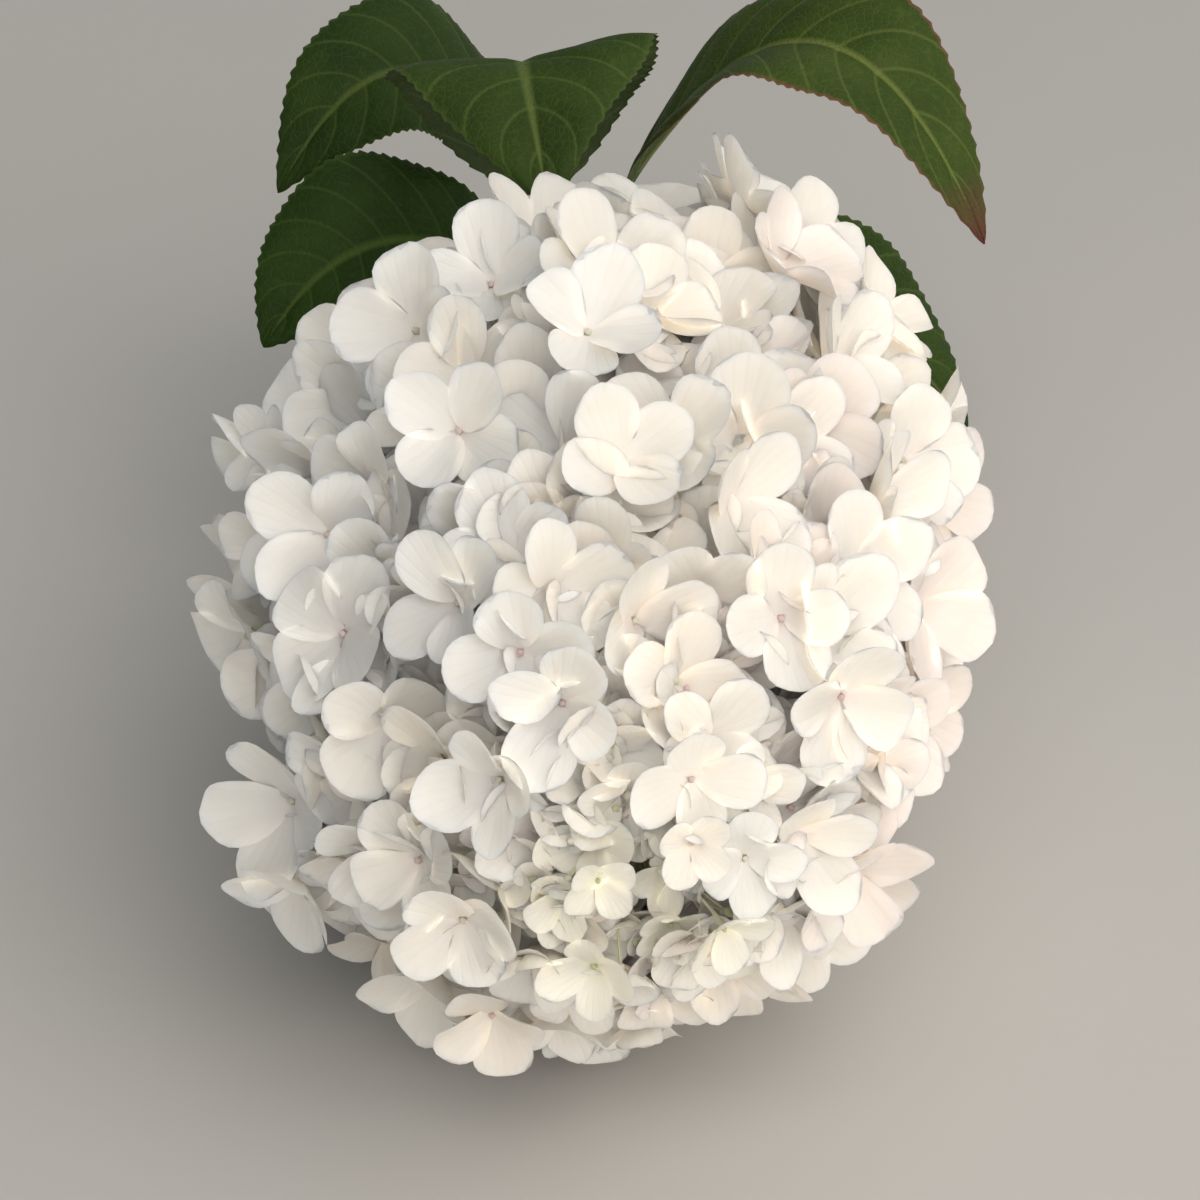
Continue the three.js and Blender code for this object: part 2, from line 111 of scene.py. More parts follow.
# The fitting test: the points that stand for a cup and for a stalk, and how far off it looks.
OUTLINE_POINTS = 16
SAMPLE_RINGS = (0.78, 0.45)
STALK_SAMPLES = np.arange(3, 24) / 24
LONGEST_STALK = 60
NEAR_ENOUGH = 8
ROOM = 1.5

# Rounds of the rule. Each has the stretch of the head it covers, in shares of the half length, the
# number of places on its spiral and the angle it starts at, how deep its florets stand, the room
# they keep, how much of the lean to the tip they have, and the offsets and sizes that are tried.
# The first round is the solids' own. The next ones fill in between its florets and behind them, and
# the last is for the crowded tip alone. Room under 0 is how far sepals may cross, where the real
# ones bend aside.
ROUNDS = [
    {
        "reach": (-0.97, 1), "count": 300, "phase": 0.3, "seed": 20261, "depth": 0, "room": ROOM,
        "lean": 1, "offsets": (0, 1.5, -1.5, 3, -3, 4.5, -4.5, 6, -6, 7.5, 9, -7.5),
        "sizes": (1, 0.88, 0.76),
    },
    {
        "reach": (-0.97, 0.98), "count": 560, "phase": 1.7, "seed": 5077, "depth": 2, "room": -2.4,
        "lean": 0.5, "offsets": (0, -2, 2, -4, -6, -8, -10, -13), "sizes": (1, 0.92),
    },
    {
        "reach": (-0.97, 0.98), "count": 460, "phase": 4.1, "seed": 911, "depth": 9, "room": -4.2,
        "lean": 0.3, "offsets": (0, -2, 2, -4, 4, -7), "sizes": (1,),
    },
    {
        "reach": (-0.97, 0.98), "count": 280, "phase": 5.3, "seed": 6151, "depth": 17, "room": -5,
        "lean": 0.2, "offsets": (0, -3, 3), "sizes": (1,),
    },
    {
        "reach": (0.84, 0.98), "count": 90, "phase": 2.6, "seed": 337, "depth": 5, "room": -3,
        "lean": 0.4, "offsets": (0, -2, 2, -4, -6, -8, -11), "sizes": (0.95, 0.8),
    },
]

# How the florets seen differ from the solids: in size, in the way they face and in their cups.
LOOKS_SEED = 4409
TRUE_SIZE = (0.95, 1.17, 0.78)  # at the back, over the head's front and at its very tip
TRUE_SIZE_FROM = 0.85
TIP_ROUND = 8  # how far back from the tip the small ones reach
SMALLER_BELOW = 0.2
BELOW_FROM = 0.1
OUTWARD_FROM = 0.8  # the outward way is taken from this share of the way along the axis
TRUE_REACH = 0.957  # of the solids' florets, as these are broader
TRUE_LOW = 45  # they are drawn in towards a point this far below the middle, so the head still rests
TRUE_JITTER = 0.1
TRUE_CUP = (0.7, 1.6)

# Sepals: sizes as shares of the floret's radius, least and most.
SEPAL_ROWS = 6
SEPAL_COLUMNS = 5
SEPAL_THICKNESS = 0.5
SEPAL_LENGTH = (0.94, 1.06)
SEPAL_MIDDLE, SEPAL_HALF = 0.53, 0.49
SEPAL_WIDTH = (0.43, 0.54)
SEPAL_WIDENING = (0.02, 0.2)
INNER_SMALLER = 0.1
INNER_LIFT = 0.05
INNER_TILT = 0.08
SEPAL_HOLLOW = (0.04, 0.22)
TIP_CURL = (-0.12, 0.2)
SEPAL_TILT = (-0.02, 0.25)
SEPAL_ROLL = 0.15
SEPAL_SWING = 0.14
SEPAL_POINT = 0.08
RIPPLE = 0.03
RIPPLE_START = (0, 6.3)
RIPPLE_WAVES = 3
VEIN_FAN_FOOT = 0.35

# How a floret's tone is dealt, partly as painted light: warmer to the right as painted sunlight, cooler
# above as painted shade, warmer behind the first round as a painted glow of light bounced between florets,
# and warmer or cooler by chance. Each tone is for warmth under its limit, and the rest is blush, but for
# the young ones at the tip.
SUNLIT_WARMTH_RIGHT, SHADE_COOLNESS_ABOVE, BOUNCED_GLOW_BEHIND, WARM_CHANCE = 0.8, 0.25, 0.35, 0.4
TONE_LIMITS = {"cool": -0.45, "white": 0.25, "cream": 0.8}
YOUNG_FROM = 96
YOUNG_BLUR = 8
YOUNG_SHARE = 0.6

# Eyes, stalks, twigs and small flower buds: profiles are radii along them.
EYE_HEIGHT = 1.7
EYE_RADIUS = 0.85
EYE_RISE = 0.25
PINK_EYES, PINK_OR_GREEN_EYES = 0.4, 0.46
BUD_PROFILE = np.array([0.45, 0.92, 1, 0.82, 0.5, 0.12])
FLORETS_TO_A_TWIG = 4
TWIG_SHARE = 0.45
TWIG_PROFILE = (1.25, 1.05, 0.95, 0.9, 0.8)
TWIG_SCATTER = 0.5
BRANCH_PROFILE = (1.7, 1.55, 1.45, 1.4, 1.35, 1.4, 1.5)
BRANCH_SCATTER = 0.35
LIMB_LEAVE = 0.3
STALK_PROFILE = np.array([0.62, 0.5, 0.46, 0.46, 0.5, 0.62, 1.3])
STALK_LEAVE, STALK_ARRIVE = 0.35, 0.36
STALK_SINK = 0.3
BUDS_TO_A_TWIG = 7
BUD_STALK = (5, 12)
BUD_STALK_RADIUS = 0.3
BUD_LENGTH = 2.3
BUD_SPREAD = 0.42
BUD_BEND = 1.2
TIP_BUDS_FROM = 40
TIP_BUDS_LONGER = 0.4
FERTILE_BUD = (0.75, 1.25)
PINK_BUDS, PINKER_AT_TIP, PINK_OR_GREEN_BUDS = 0.1, 0.12, 0.5

# The stem.
CUT_END = np.array([16, 258, 3.3])
CUT_AIM = np.array([9, 212, 26])
BEND_REACH = 62
STEM_RADII = (3.4, 2.6, 1.5)  # at the cut, at the head's base and at the axis's end
STEM_NODES = (0.46, 0.76)
NODE_SWELL = 0.9
NODE_WIDTH = 5
STEM_STEPS = 260
STEM_SIDES = 32
SCAR_OFF_NODE, SCAR_RISE, SCAR_WIDTH = 2.6, 0.25, 0.5
RIDGES = ((0.09, 6, 23), (0.04, 13, -9))  # how high, how many round, and how slowly they drift
LENTICELS = 150
LENTICELS_END = 150
LENTICEL_SEED = 811
LENTICEL_RISE = 0.16
LENTICEL_SIZE = (0.75, 0.4)  # along the stem and round it
CUT_SHARE = 0.97
PITH_HOLLOW = 0.1
SAW_RIPPLE = 0.03
FLOOR_GAP = 0.05

# Leaves: the stem's node they start at, the point that draws the middle line into its bend, the
# tip, the width, the roll in degrees, and the fold as a rise over the half width.
LEAVES = {
    "leaf_left": {
        "node": 1, "bend": (-52, 145, 106), "tip": (-78, 120, 68), "width": 50, "roll": 48, "fold": 0.17,
    },
    "leaf_right": {
        "node": 1, "bend": (48, 148, 194), "tip": (89, 99, 108), "width": 45, "roll": 22, "fold": 0.3,
    },
    "leaf_top": {
        "node": 1, "bend": (-24, 160, 172), "tip": (-10, 94, 120), "width": 64, "roll": -4, "fold": 0.15,
    },
    "leaf_under": {
        "node": 0, "bend": (-18, 178, -3), "tip": (-54, 130, 0.7), "width": 42, "roll": 0, "fold": 0.15,
    },
    "leaf_back_left": {
        "node": 0, "bend": (-40, 186, 152), "tip": (-76, 159, 88), "width": 46, "roll": 30, "fold": 0.2,
    },
    "leaf_back_right": {
        "node": 0, "bend": (58, 184, 66), "tip": (96, 192, 0.6), "width": 46, "roll": 30, "fold": 0.15,
    },
}
PETIOLE_SHARE = 0.15
PETIOLE_END = 0.3
PETIOLE_RADIUS = 1.3
PETIOLE_SINK = 0.55
LEAF_ROWS = 150
LEAF_COLUMNS = 26
COLUMNS_TO_MIDRIB = 1.15
LEAF_THICKNESS = 0.5
TEETH = 34
TOOTH_DEPTH = 1.0
TOOTH_LEAN = 0.72
EDGE_WAVE = 0.07
EDGE_WAVES = 2.6
FIRST_WAVE, NEXT_WAVE = 0.17, 0.29  # where the first leaf's wave starts, and each next leaf's after it
EDGE_FALL = 0.1
QUILTING = 0.55
SIDE_VEINS = 9
VEIN_CURVE = 1.3
VEIN_ADVANCE = 0.17
MIDRIB_WIDTH = 0.9
SIDE_VEIN_WIDTH = 0.07
FURROWS = (0.35, 0.12)  # of the midrib and of the side veins, on the upper face
RIBS = (1.0, 0.3)  # of the same, on the under face
AXIL_BUD_START = 3.0
AXIL_BUD_LEAN = (0.6, 1.4)  # to the stem from the leaf stalk, where it starts and as it grows
AXIL_BUD_LENGTH = 5
AXIL_BUD_PROFILE = np.array([1.0, 1.45, 1.5, 1.3, 0.9, 0.5, 0.12])

# The camera: millimetres on its sensor, metres from the head's middle, and a side step in millimetres.
SENSOR = 36
LENS = 140.1
CAMERA_DISTANCE = 1.0
CAMERA_ELEVATION = 34 * DEGREE
FRAME_OFFSET = 1.5

# The lights, in metres: place, size across, power and colour.
LAMPS = {
    "warm_key": ((0.42, -1.0, 0.96), 1.8, 12.9, (1, 0.925, 0.85)),
    "top_light": ((0.5, 0.2, 1.4), 1.2, 1.5, (0.97, 0.98, 1)),
}
LAMP_AIM = (0, -0.05, 0.08)
ROOM_LIGHT = (0.05, 0.64)  # its strength from the left and from the right
FLOOR_REACH = 40


# Vectors and curves


def unit(vectors):
    """Each vector divided by its length."""
    return vectors / np.linalg.norm(vectors, axis=-1, keepdims=True)


def dot(a, b):
    """Products of the parts of two vectors, summed."""
    return (a * b).sum(-1)


def smooth(share):
    """3 s squared minus 2 s cubed, for s held between 0 and 1."""
    share = np.clip(share, 0, 1)
    return share * share * (3 - 2 * share)


def bezier(controls, share):
    """A curve by its control points: each weighted by its Bernstein polynomial."""
    degree = len(controls) - 1
    share = np.asarray(share, float)[..., None]
    return sum(
        math.comb(degree, i) * share**i * (1 - share) ** (degree - i) * np.asarray(control, float)
        for i, control in enumerate(controls)
    )


def disc_grid(rows, columns):
    """A square grid mapped on a disc: s by the root of 1 - t t / 2, and t by that of 1 - s s / 2."""
    s, t = np.meshgrid(np.linspace(-1, 1, rows + 1), np.linspace(-1, 1, columns + 1), indexing="ij")
    return s * np.sqrt(1 - t * t / 2), t * np.sqrt(1 - s * s / 2)


def seeded(seed):
    """The source's own numbers from 0 to 1: each state is the last times 1664525 plus 1013904223."""
    state = seed
    while True:
        state = (state * 1664525 + 1013904223) % 2**32
        yield state / 2**32


AXIS = np.array([
    math.sin(HEAD_TURN) * math.cos(HEAD_RISE),
    -math.cos(HEAD_TURN) * math.cos(HEAD_RISE),
    math.sin(HEAD_RISE),
])
RIGHT = np.array([math.cos(HEAD_TURN), math.sin(HEAD_TURN), 0])
OVER = np.cross(AXIS, RIGHT)
MIDDLE = np.array([0, 0, HEAD_HEIGHT])
HEAD_BASE = MIDDLE - AXIS * HEAD_HALF_LENGTH
STEM_BEND = (CUT_END, CUT_AIM, HEAD_BASE - AXIS * BEND_REACH, HEAD_BASE)
NODE_PLACES = bezier(STEM_BEND, STEM_NODES)
SHIFT = np.array(frame["record"]["mounts"][0]["pos_m"]) / METRE - CUT_END


# The head's form


def head_radius(u):
    """Half circle over the length, times one minus the taper times the place along it."""
    share = np.clip(u / HEAD_HALF_LENGTH, -1, 1)
    return HEAD_RADIUS * np.sqrt(1 - share * share) * (1 - HEAD_TAPER * share)


def head_slope(u):
    """Rise of the radius over one millimetre of length."""
    return head_radius(u + 0.5) - head_radius(u - 0.5)


def floret_radius(u):
    """Full size from the back to the middle, then falling by a power of the share to the tip's."""
    share = np.clip(u / HEAD_HALF_LENGTH, 0, 1)
    return FLORET_RADIUS + (TIP_FLORET_RADIUS - FLORET_RADIUS) * share**RADIUS_FALL


def egg_point(u, turn):
    """Axis place plus the radius times the direction at that turn, and the normal out of the egg."""
    u, turn = np.asarray(u, float)[..., None], np.asarray(turn, float)[..., None]
    out = RIGHT * np.sin(turn) + OVER * np.cos(turn)
    point = MIDDLE + AXIS * u + out * head_radius(u)
    return point, unit(out - AXIS * np.clip(head_slope(u), -STEEPEST_SLOPE, STEEPEST_SLOPE))


def head_point(u, turn):
    """Egg point moved along its normal by the sum of the lobes, each a bell over its distance."""
    point, normal = egg_point(u, turn)
    lobes = np.array(LOBES, float)
    middles, _ = egg_point(lobes[:, 0] * HEAD_HALF_LENGTH, lobes[:, 1] * DEGREE)
    distance = np.linalg.norm(point[..., None, :] - middles, axis=-1)
    proud = (lobes[:, 2] * np.exp(-((distance / lobes[:, 3]) ** 2))).sum(-1)
    return point + normal * proud[..., None], normal


def spiral_sites(count, phase, start, end):
    """Golden spiral over the head, its steps of equal area over the square of the floret's size."""
    steps = 400
    reach = (end - start) / steps
    u = start + (np.arange(steps) + 0.5) * reach
    weight = head_radius(u) * np.hypot(1, head_slope(u)) * reach / floret_radius(u) ** 2
    sums = np.concatenate([[0], np.cumsum(weight)])
    wanted = (np.arange(count) + 0.5) / count * sums[-1]
    step = np.searchsorted(sums, wanted) - 1
    inside = (wanted - sums[step]) / (sums[step + 1] - sums[step])
    u = start + (step + inside) * reach
    point, normal = head_point(u, np.arange(count) * GOLDEN_ANGLE + phase)
    return {"u": u, "point": point, "normal": normal}


# Clusters and florets


def make_clusters():
    """Side branches: from the axis at even steps, half way to the spiral's places on the surface.

    The last one goes to the tip, from the end of the axis.
    """
    back = -HEAD_HALF_LENGTH * CLUSTERS_END
    sites = spiral_sites(CLUSTERS, FIRST_CLUSTER_PHASE, back, HEAD_HALF_LENGTH * CLUSTERS_END)
    start = back + (np.arange(CLUSTERS) + 0.5) / CLUSTERS * (RACHIS_END - BRANCH_START - back)
    tip, _ = head_point(HEAD_HALF_LENGTH, 0)
    start = np.append(start, RACHIS_END)
    origin = MIDDLE + AXIS * start[:, None]
    point = np.vstack([sites["point"], tip])
    normal = np.vstack([sites["normal"], AXIS])
    hub = origin + (point - origin) * HUB_SHARE
    return {"from": origin, "point": point, "hub": hub, "normal": normal}


def sepal_outline(angle):
    """Notch plus the rest times a power of the cosine of twice the angle."""
    return SEPAL_NOTCH + (1 - SEPAL_NOTCH) * np.abs(np.cos(2 * angle)) ** NOTCH_POWER


def floret_at(centre, facing, radius, cup, twist, hub, u, cluster):
    """A floret's frame, with the sample points of its cup and its stalk for the fitting test."""
    side = np.cross(OVER, facing)
    if np.linalg.norm(side) < 0.1:
        side = np.cross(RIGHT, facing)
    side = unit(side)
    across = np.cross(facing, side)
    angle = np.arange(OUTLINE_POINTS) / OUTLINE_POINTS * 2 * math.pi
    reach = radius * sepal_outline(angle)
    odd = slice(1, None, 2)
    wide, narrow = SAMPLE_RINGS
    distance = np.concatenate([[0], reach, reach * wide, reach[odd] * narrow])[:, None]
    turn = np.concatenate([[0], angle, angle, angle[odd]])[:, None] + twist
    cupped = cup * radius * (distance / radius) ** CUP_POWER
    shape = side * distance * np.cos(turn) + across * distance * np.sin(turn) + facing * cupped
    lowest = (centre + shape)[:, 2].min()
    centre = centre - UP * min(lowest, 0)
    stalk = hub + (centre - hub) * STALK_SAMPLES[:, None]
    return {
        "centre": centre, "side": side, "across": across, "facing": facing, "radius": radius,
        "cup": cup * radius, "twist": twist, "hub": hub, "u": u, "cluster": cluster,
        "samples": centre + shape, "stalk": stalk,
    }


def heights_over(florets, points):
    """How far points lie over each floret's cup: nothing where they are past its outline."""
    offset = points - florets["centre"][..., None, :]
    x = dot(offset, florets["side"][..., None, :])
    y = dot(offset, florets["across"][..., None, :])
    distance = np.hypot(x, y)
    radius = florets["radius"][..., None]
    reach = radius * sepal_outline(np.arctan2(y, x) - florets["twist"][..., None]) + ROOM / 2
    cup = florets["cup"][..., None] * (distance / radius) ** CUP_POWER
    height = dot(offset, florets["facing"][..., None, :]) - cup
    return np.where((distance > reach) | (np.abs(height) > 2 * FLORET_RADIUS), np.nan, height)


def passes(heights, room):
    """True where all the points pass over, or all pass under, with room between."""
    lowest = np.where(np.isnan(heights), np.inf, heights).min(-1)
    highest = np.where(np.isnan(heights), -np.inf, heights).max(-1)
    return (lowest > room) | (highest < -room)


class Head:
    """The florets set out so far, one array for each of their values."""

    def __init__(self, room_for):
        self.count = 0
        vectors = dict.fromkeys(("centre", "side", "across", "facing", "hub"), (3,))
        numbers = dict.fromkeys(("radius", "cup", "twist", "u", "cluster"), ())
        samples = {"samples": (1 + OUTLINE_POINTS * 5 // 2, 3), "stalk": (len(STALK_SAMPLES), 3)}
        shapes = {**vectors, **numbers, **samples}
        self.values = {key: np.zeros((room_for, *shape)) for key, shape in shapes.items()}

    def add(self, floret):
        """Keep one more floret."""
        for key, value in floret.items():
            self.values[key][self.count] = value
        self.count += 1

    def taken(self):
        """The values of the florets set out so far."""
        return {key: value[: self.count] for key, value in self.values.items()}

    def fits(self, floret, room):
        """True if the floret and its stalk are clear of every floret already there."""
        there = self.taken()
        single = {key: np.asarray(value) for key, value in floret.items()}
        gap = np.linalg.norm(there["centre"] - floret["centre"], axis=1)
        gap = gap - there["radius"] - floret["radius"]
        near = {key: value[gap < NEAR_ENOUGH] for key, value in there.items()}
        if not passes(heights_over(near, floret["samples"]), room).all():
            return False
        if not passes(heights_over(single, near["samples"]), room).all():
            return False
        far = (gap <= LONGEST_STALK) & (there["cluster"] != floret["cluster"])
        others = {key: value[far] for key, value in there.items()}
        if not passes(heights_over(others, floret["stalk"]), room).all():
            return False
        return bool(passes(heights_over(single, others["stalk"]), room).all())


def set_out(head, clusters, how):
    """One round: each place's floret, tried at each size and offset along its normal until it fits.

    It faces along the normal, leans to the tip by a share that grows along the head, leans away from
    its cluster's middle, and is turned a little by chance.
    """
    start, end = (HEAD_HALF_LENGTH * share for share in how["reach"])
    sites = spiral_sites(how["count"], how["phase"], start, end)
    numbers = seeded(how["seed"])
    lean_back, lean_front = LEAN_TO_TIP
    for u, site, normal in zip(sites["u"], sites["point"], sites["normal"]):
        near = int(np.linalg.norm(clusters["point"] - site, axis=1).argmin())
        from_middle = site - clusters["point"][near]
        away = min(np.linalg.norm(from_middle) / CLUSTER_REACH, FARTHEST_OUT)
        draws = np.array([next(numbers) for _ in range(9)])
        spread = draws * 2 - 1
        lean = (u / HEAD_HALF_LENGTH + 1) / (FULL_LEAN_FROM + 1)
        lean = lean_back + (lean_front - lean_back) * smooth(lean)
        facing = normal + AXIS * lean * how["lean"] + unit(from_middle) * LEAN_FROM_CLUSTER * away
        facing = unit(facing + spread[:3] * FACING_JITTER)
        size = LEAST_SIZE + SIZE_SPREAD * draws[3]
        cup = CUP_DEPTH[0] + (CUP_DEPTH[1] - CUP_DEPTH[0]) * draws[4]
        under = how["depth"] * floret_radius(u) / FLORET_RADIUS
        place = site + normal * (CLUSTER_SWELL * (1 - SWELL_FALL * away * away) - under)
        place = place + spread[6:] * PLACE_JITTER
        hub = clusters["hub"][near]
        other_hubs = np.delete(clusters["hub"], near, axis=0)
        for share, offset in product(how["sizes"], how["offsets"]):
            radius = floret_radius(u) * size * share
            centre = place + normal * offset
            floret = floret_at(centre, facing, radius, cup, draws[5] * math.pi, hub, u, near)
            to_hubs = np.linalg.norm(floret["stalk"][:, None] - other_hubs, axis=2).min()
            if to_hubs > HUB_RADIUS + how["room"] and head.fits(floret, how["room"]):
                head.add(floret)
                break


def true_florets(florets, numbers):
    """The florets as they are seen: broad over the front, small at the tip and a little underneath.

    Each has its own tilt and cup.
    """
    count = len(florets["radius"])
    back_size, front_size, tip_size = TRUE_SIZE
    share = smooth(florets["u"] / HEAD_HALF_LENGTH / TRUE_SIZE_FROM)
    size = back_size + (front_size - back_size) * share
    at_tip = smooth((florets["u"] - HEAD_HALF_LENGTH) / TIP_ROUND + 1)
    size = size + (tip_size - front_size) * at_tip
    outward = unit(florets["centre"] - MIDDLE - AXIS * florets["u"][:, None] * OUTWARD_FROM)
    size = size * (1 - SMALLER_BELOW * smooth(-outward[:, 2] - BELOW_FROM))
    facing = unit(florets["facing"] + numbers.normal(0, TRUE_JITTER, (count, 3)))
    side = unit(np.cross(OVER, facing))
    cup = florets["cup"] * numbers.uniform(*TRUE_CUP, count) * size
    low = MIDDLE - UP * TRUE_LOW
    centre = low + (florets["centre"] - low) * TRUE_REACH
    return {
        **florets, "facing": facing, "side": side, "across": np.cross(facing, side), "cup": cup,
        "centre": centre, "radius": florets["radius"] * size,
    }


# Meshes


def sheet_faces(rows, columns):
    """Quads of one closed sheet: a top grid, and an under grid that shares the top's rim."""
    top = np.arange(rows * columns).reshape(rows, columns)
    under = top.copy()
    inner = np.arange((rows - 2) * (columns - 2)).reshape(rows - 2, columns - 2)
    under[1:-1, 1:-1] = rows * columns + inner

    def quads(grid):
        corners = [grid[:-1, :-1], grid[1:, :-1], grid[1:, 1:], grid[:-1, 1:]]
        return np.stack(corners, -1).reshape(-1, 4)

    return quads(top), quads(under)[:, ::-1]


def sheets(top, under):
    """Closed thin sheets from two grids each: points, quads, and which points lie on the rims."""
    count, rows, columns, _ = top.shape
    inner = under[:, 1:-1, 1:-1].reshape(count, -1, 3)
    points = np.concatenate([top.reshape(count, -1, 3), inner], axis=1)
    faces = np.concatenate(sheet_faces(rows, columns))
    shift = np.arange(count)[:, None, None] * points.shape[1]
    rim = np.zeros((rows, columns), bool)
    rim[[0, -1]] = True
    rim[:, [0, -1]] = True
    rims = np.tile(np.concatenate([rim.ravel(), np.zeros(inner.shape[1], bool)]), count)
    return points.reshape(-1, 3), (faces + shift).reshape(-1, 4), rims


def sheet_map(uv):
    """The map of closed sheets: that of each top grid, then that of its inner points again."""
    count = len(uv)
    inner = uv[:, 1:-1, 1:-1].reshape(count, -1, 2)
    return np.concatenate([uv.reshape(count, -1, 2), inner], axis=1).reshape(-1, 2)


def tubes(paths, radii, sides):
    """Closed round limbs: at each path point a ring of its radius, square to the path's direction."""
    count, steps, _ = paths.shape
    tangent = unit(np.gradient(paths, axis=1))
    chord = unit(paths[:, -1] - paths[:, 0])
    reference = np.where(np.abs(chord[:, :1]) > 0.8, UP, np.array([1.0, 0, 0]))[:, None]
    side = unit(np.cross(tangent, reference))
    across = np.cross(tangent, side)
    angle = (np.arange(sides) / sides * 2 * math.pi)[:, None]
    ring = side[:, :, None] * np.cos(angle) + across[:, :, None] * np.sin(angle)
    radii = radii if radii.ndim == 3 else radii[..., None]
    points = paths[:, :, None] + ring * radii[..., None]
    index = np.arange(steps * sides).reshape(steps, sides)
    turned = np.roll(index, -1, axis=1)
    quads = np.stack([index[:-1], turned[:-1], turned[1:], index[1:]], -1).reshape(-1, 4)
    shift = np.arange(count)[:, None, None] * steps * sides
    ends = np.stack([index[0, ::-1], index[-1]]) + shift
    return points.reshape(-1, 3), (quads + shift).reshape(-1, 4), ends.reshape(-1, sides)


def surface_normals(grid):
    """Cross product of a grid's steps along its rows and along its columns."""
    along = np.gradient(grid, axis=-3)
    across = np.gradient(grid, axis=-2)
    normal = np.cross(along, across)
    return normal / (np.linalg.norm(normal, axis=-1, keepdims=True) + 1e-9)


def piece(
    name, points, face_sets, materials, replaced, uv=None, sharp=None, kinds=None, lenticel=None
):
    """A mesh of arrays, in metres and moved to the part's origin, riding on the part.

    It can have a map, creased edges between the points marked sharp, a kind of material for each
    face, and a share of lenticel for each point.
    """
    mesh = bpy.data.meshes.new(name)
    corners = np.concatenate([faces.ravel() for faces in face_sets])
    totals = np.concatenate([np.full(len(faces), faces.shape[1]) for faces in face_sets])
    placed = (points + SHIFT) * METRE
    placed[:, 2] = np.maximum(placed[:, 2], FLOOR_GAP * METRE)
    mesh.vertices.add(len(points))
    mesh.vertices.foreach_set("co", placed.astype(np.float32).ravel())
    mesh.loops.add(len(corners))
    mesh.loops.foreach_set("vertex_index", corners.astype(np.int32))
    mesh.polygons.add(len(totals))
    starts = np.concatenate([[0], np.cumsum(totals)[:-1]])
    mesh.polygons.foreach_set("loop_start", starts.astype(np.int32))
    if kinds is not None:
        mesh.polygons.foreach_set("material_index", kinds.astype(np.int32))
    mesh.update(calc_edges=True)
    if sharp is not None:
        ends = np.zeros(len(mesh.edges) * 2, np.int32)
        mesh.edges.foreach_get("vertices", ends)
        crease = mesh.attributes.new("sharp_edge", "BOOLEAN", "EDGE")
        crease.data.foreach_set("value", sharp[ends.reshape(-1, 2)].all(1))
    if lenticel is not None:
        marks = mesh.attributes.new("lenticel", "FLOAT", "POINT")
        marks.data.foreach_set("value", lenticel.astype(np.float32))
    if uv is not None:
        layer = mesh.uv_layers.new(name="UVMap")
        layer.data.foreach_set("uv", uv[corners].astype(np.float32).ravel())
    mesh.validate()
    for material in materials:
        mesh.materials.append(material)
    made = bpy.data.objects.new(name, mesh)
    bpy.context.scene.collection.objects.link(made)
    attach(made, "root")
    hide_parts(*replaced)


def tube_piece(name, paths, radii, material, slot, replaced, sides):
    """Closed round limbs or buds, joined."""
    points, quads, ends = tubes(paths, radii, sides)
    piece(name, points, [quads, ends], [material], replaced)


# Materials


def surface(name, roughness, **constants):
    """A material with its shader's constants set on their own sockets."""
    material = bpy.data.materials.new(name)
    material.use_nodes = True
    tree = material.node_tree
    shader = tree.nodes["Principled BSDF"]
    shader.inputs["Roughness"].default_value = roughness
    for socket, value in constants.items():
        shader.inputs[socket.replace("_", " ")].default_value = value
    return material, tree, shader


def plug(tree, socket, value):
    """A socket linked to another node's, or set to a number or a colour."""
    if isinstance(value, bpy.types.NodeSocket):
        tree.links.new(value, socket)
    elif socket.type == "RGBA":
        socket.default_value = (*value, 1)
    else:
        socket.default_value = value


def node(tree, kind, settings=None, **inputs):
    """A node with its settings and its inputs."""
    made = tree.nodes.new("ShaderNode" + kind)
    for key, value in (settings or {}).items():
        setattr(made, key, value)
    for key, value in inputs.items():
        plug(tree, made.inputs[key.replace("_", " ")], value)
    return made


def maths(tree, operation, *values):
    """One step of arithmetic on numbers or sockets."""
    made = node(tree, "Math", {"operation": operation})
    for socket, value in zip(made.inputs, values):
        plug(tree, socket, value)
    return made.outputs[0]


def times(tree, first, second):
    """One value times another."""
    return maths(tree, "MULTIPLY", first, second)


def add_share(tree, value, other, share):
    """A value plus a share of another."""
    return maths(tree, "ADD", value, times(tree, other, share))


def blend(tree, share, first, second):
    """From the first colour to the second by a share from 0 to 1."""
    made = node(tree, "Mix", {"data_type": "RGBA"})
    share_socket, first_socket, second_socket = made.inputs[0], made.inputs[6], made.inputs[7]
    plug(tree, share_socket, share)
    plug(tree, first_socket, first)
    plug(tree, second_socket, second)
    return made.outputs[2]


def wash(tree, flesh, share, strength, colour):
    """A colour laid over another by a share times a strength."""
    return blend(tree, times(tree, share, strength), flesh, colour)


def noise(tree, coordinates, scale, detail=3):
    """Cloudy noise on given coordinates."""
    made = node(tree, "TexNoise", Vector=coordinates, Scale=scale, Detail=detail)
    return made.outputs["Fac"]


def ramp(tree, value, low, high):
    """0 below the low value, 1 above the high one, even between."""
    return node(tree, "MapRange", Value=value, From_Min=low, From_Max=high).outputs[0]


def coordinates(tree):
    """The object's own coordinates, and the two parts of the piece's map."""
    place = node(tree, "TexCoord")
    split = node(tree, "SeparateXYZ", Vector=place.outputs["UV"])
    return place.outputs["Object"], split.outputs["X"], split.outputs["Y"]


def coat(tree, shader, colour, height, depth, strength=1.0):
    """A shader's colour, and its relief of a depth in metres."""
    tree.links.new(colour, shader.inputs["Base Color"])
    relief = node(tree, "Bump", Height=height, Distance=depth, Strength=strength)
    tree.links.new(relief.outputs[0], shader.inputs["Normal"])


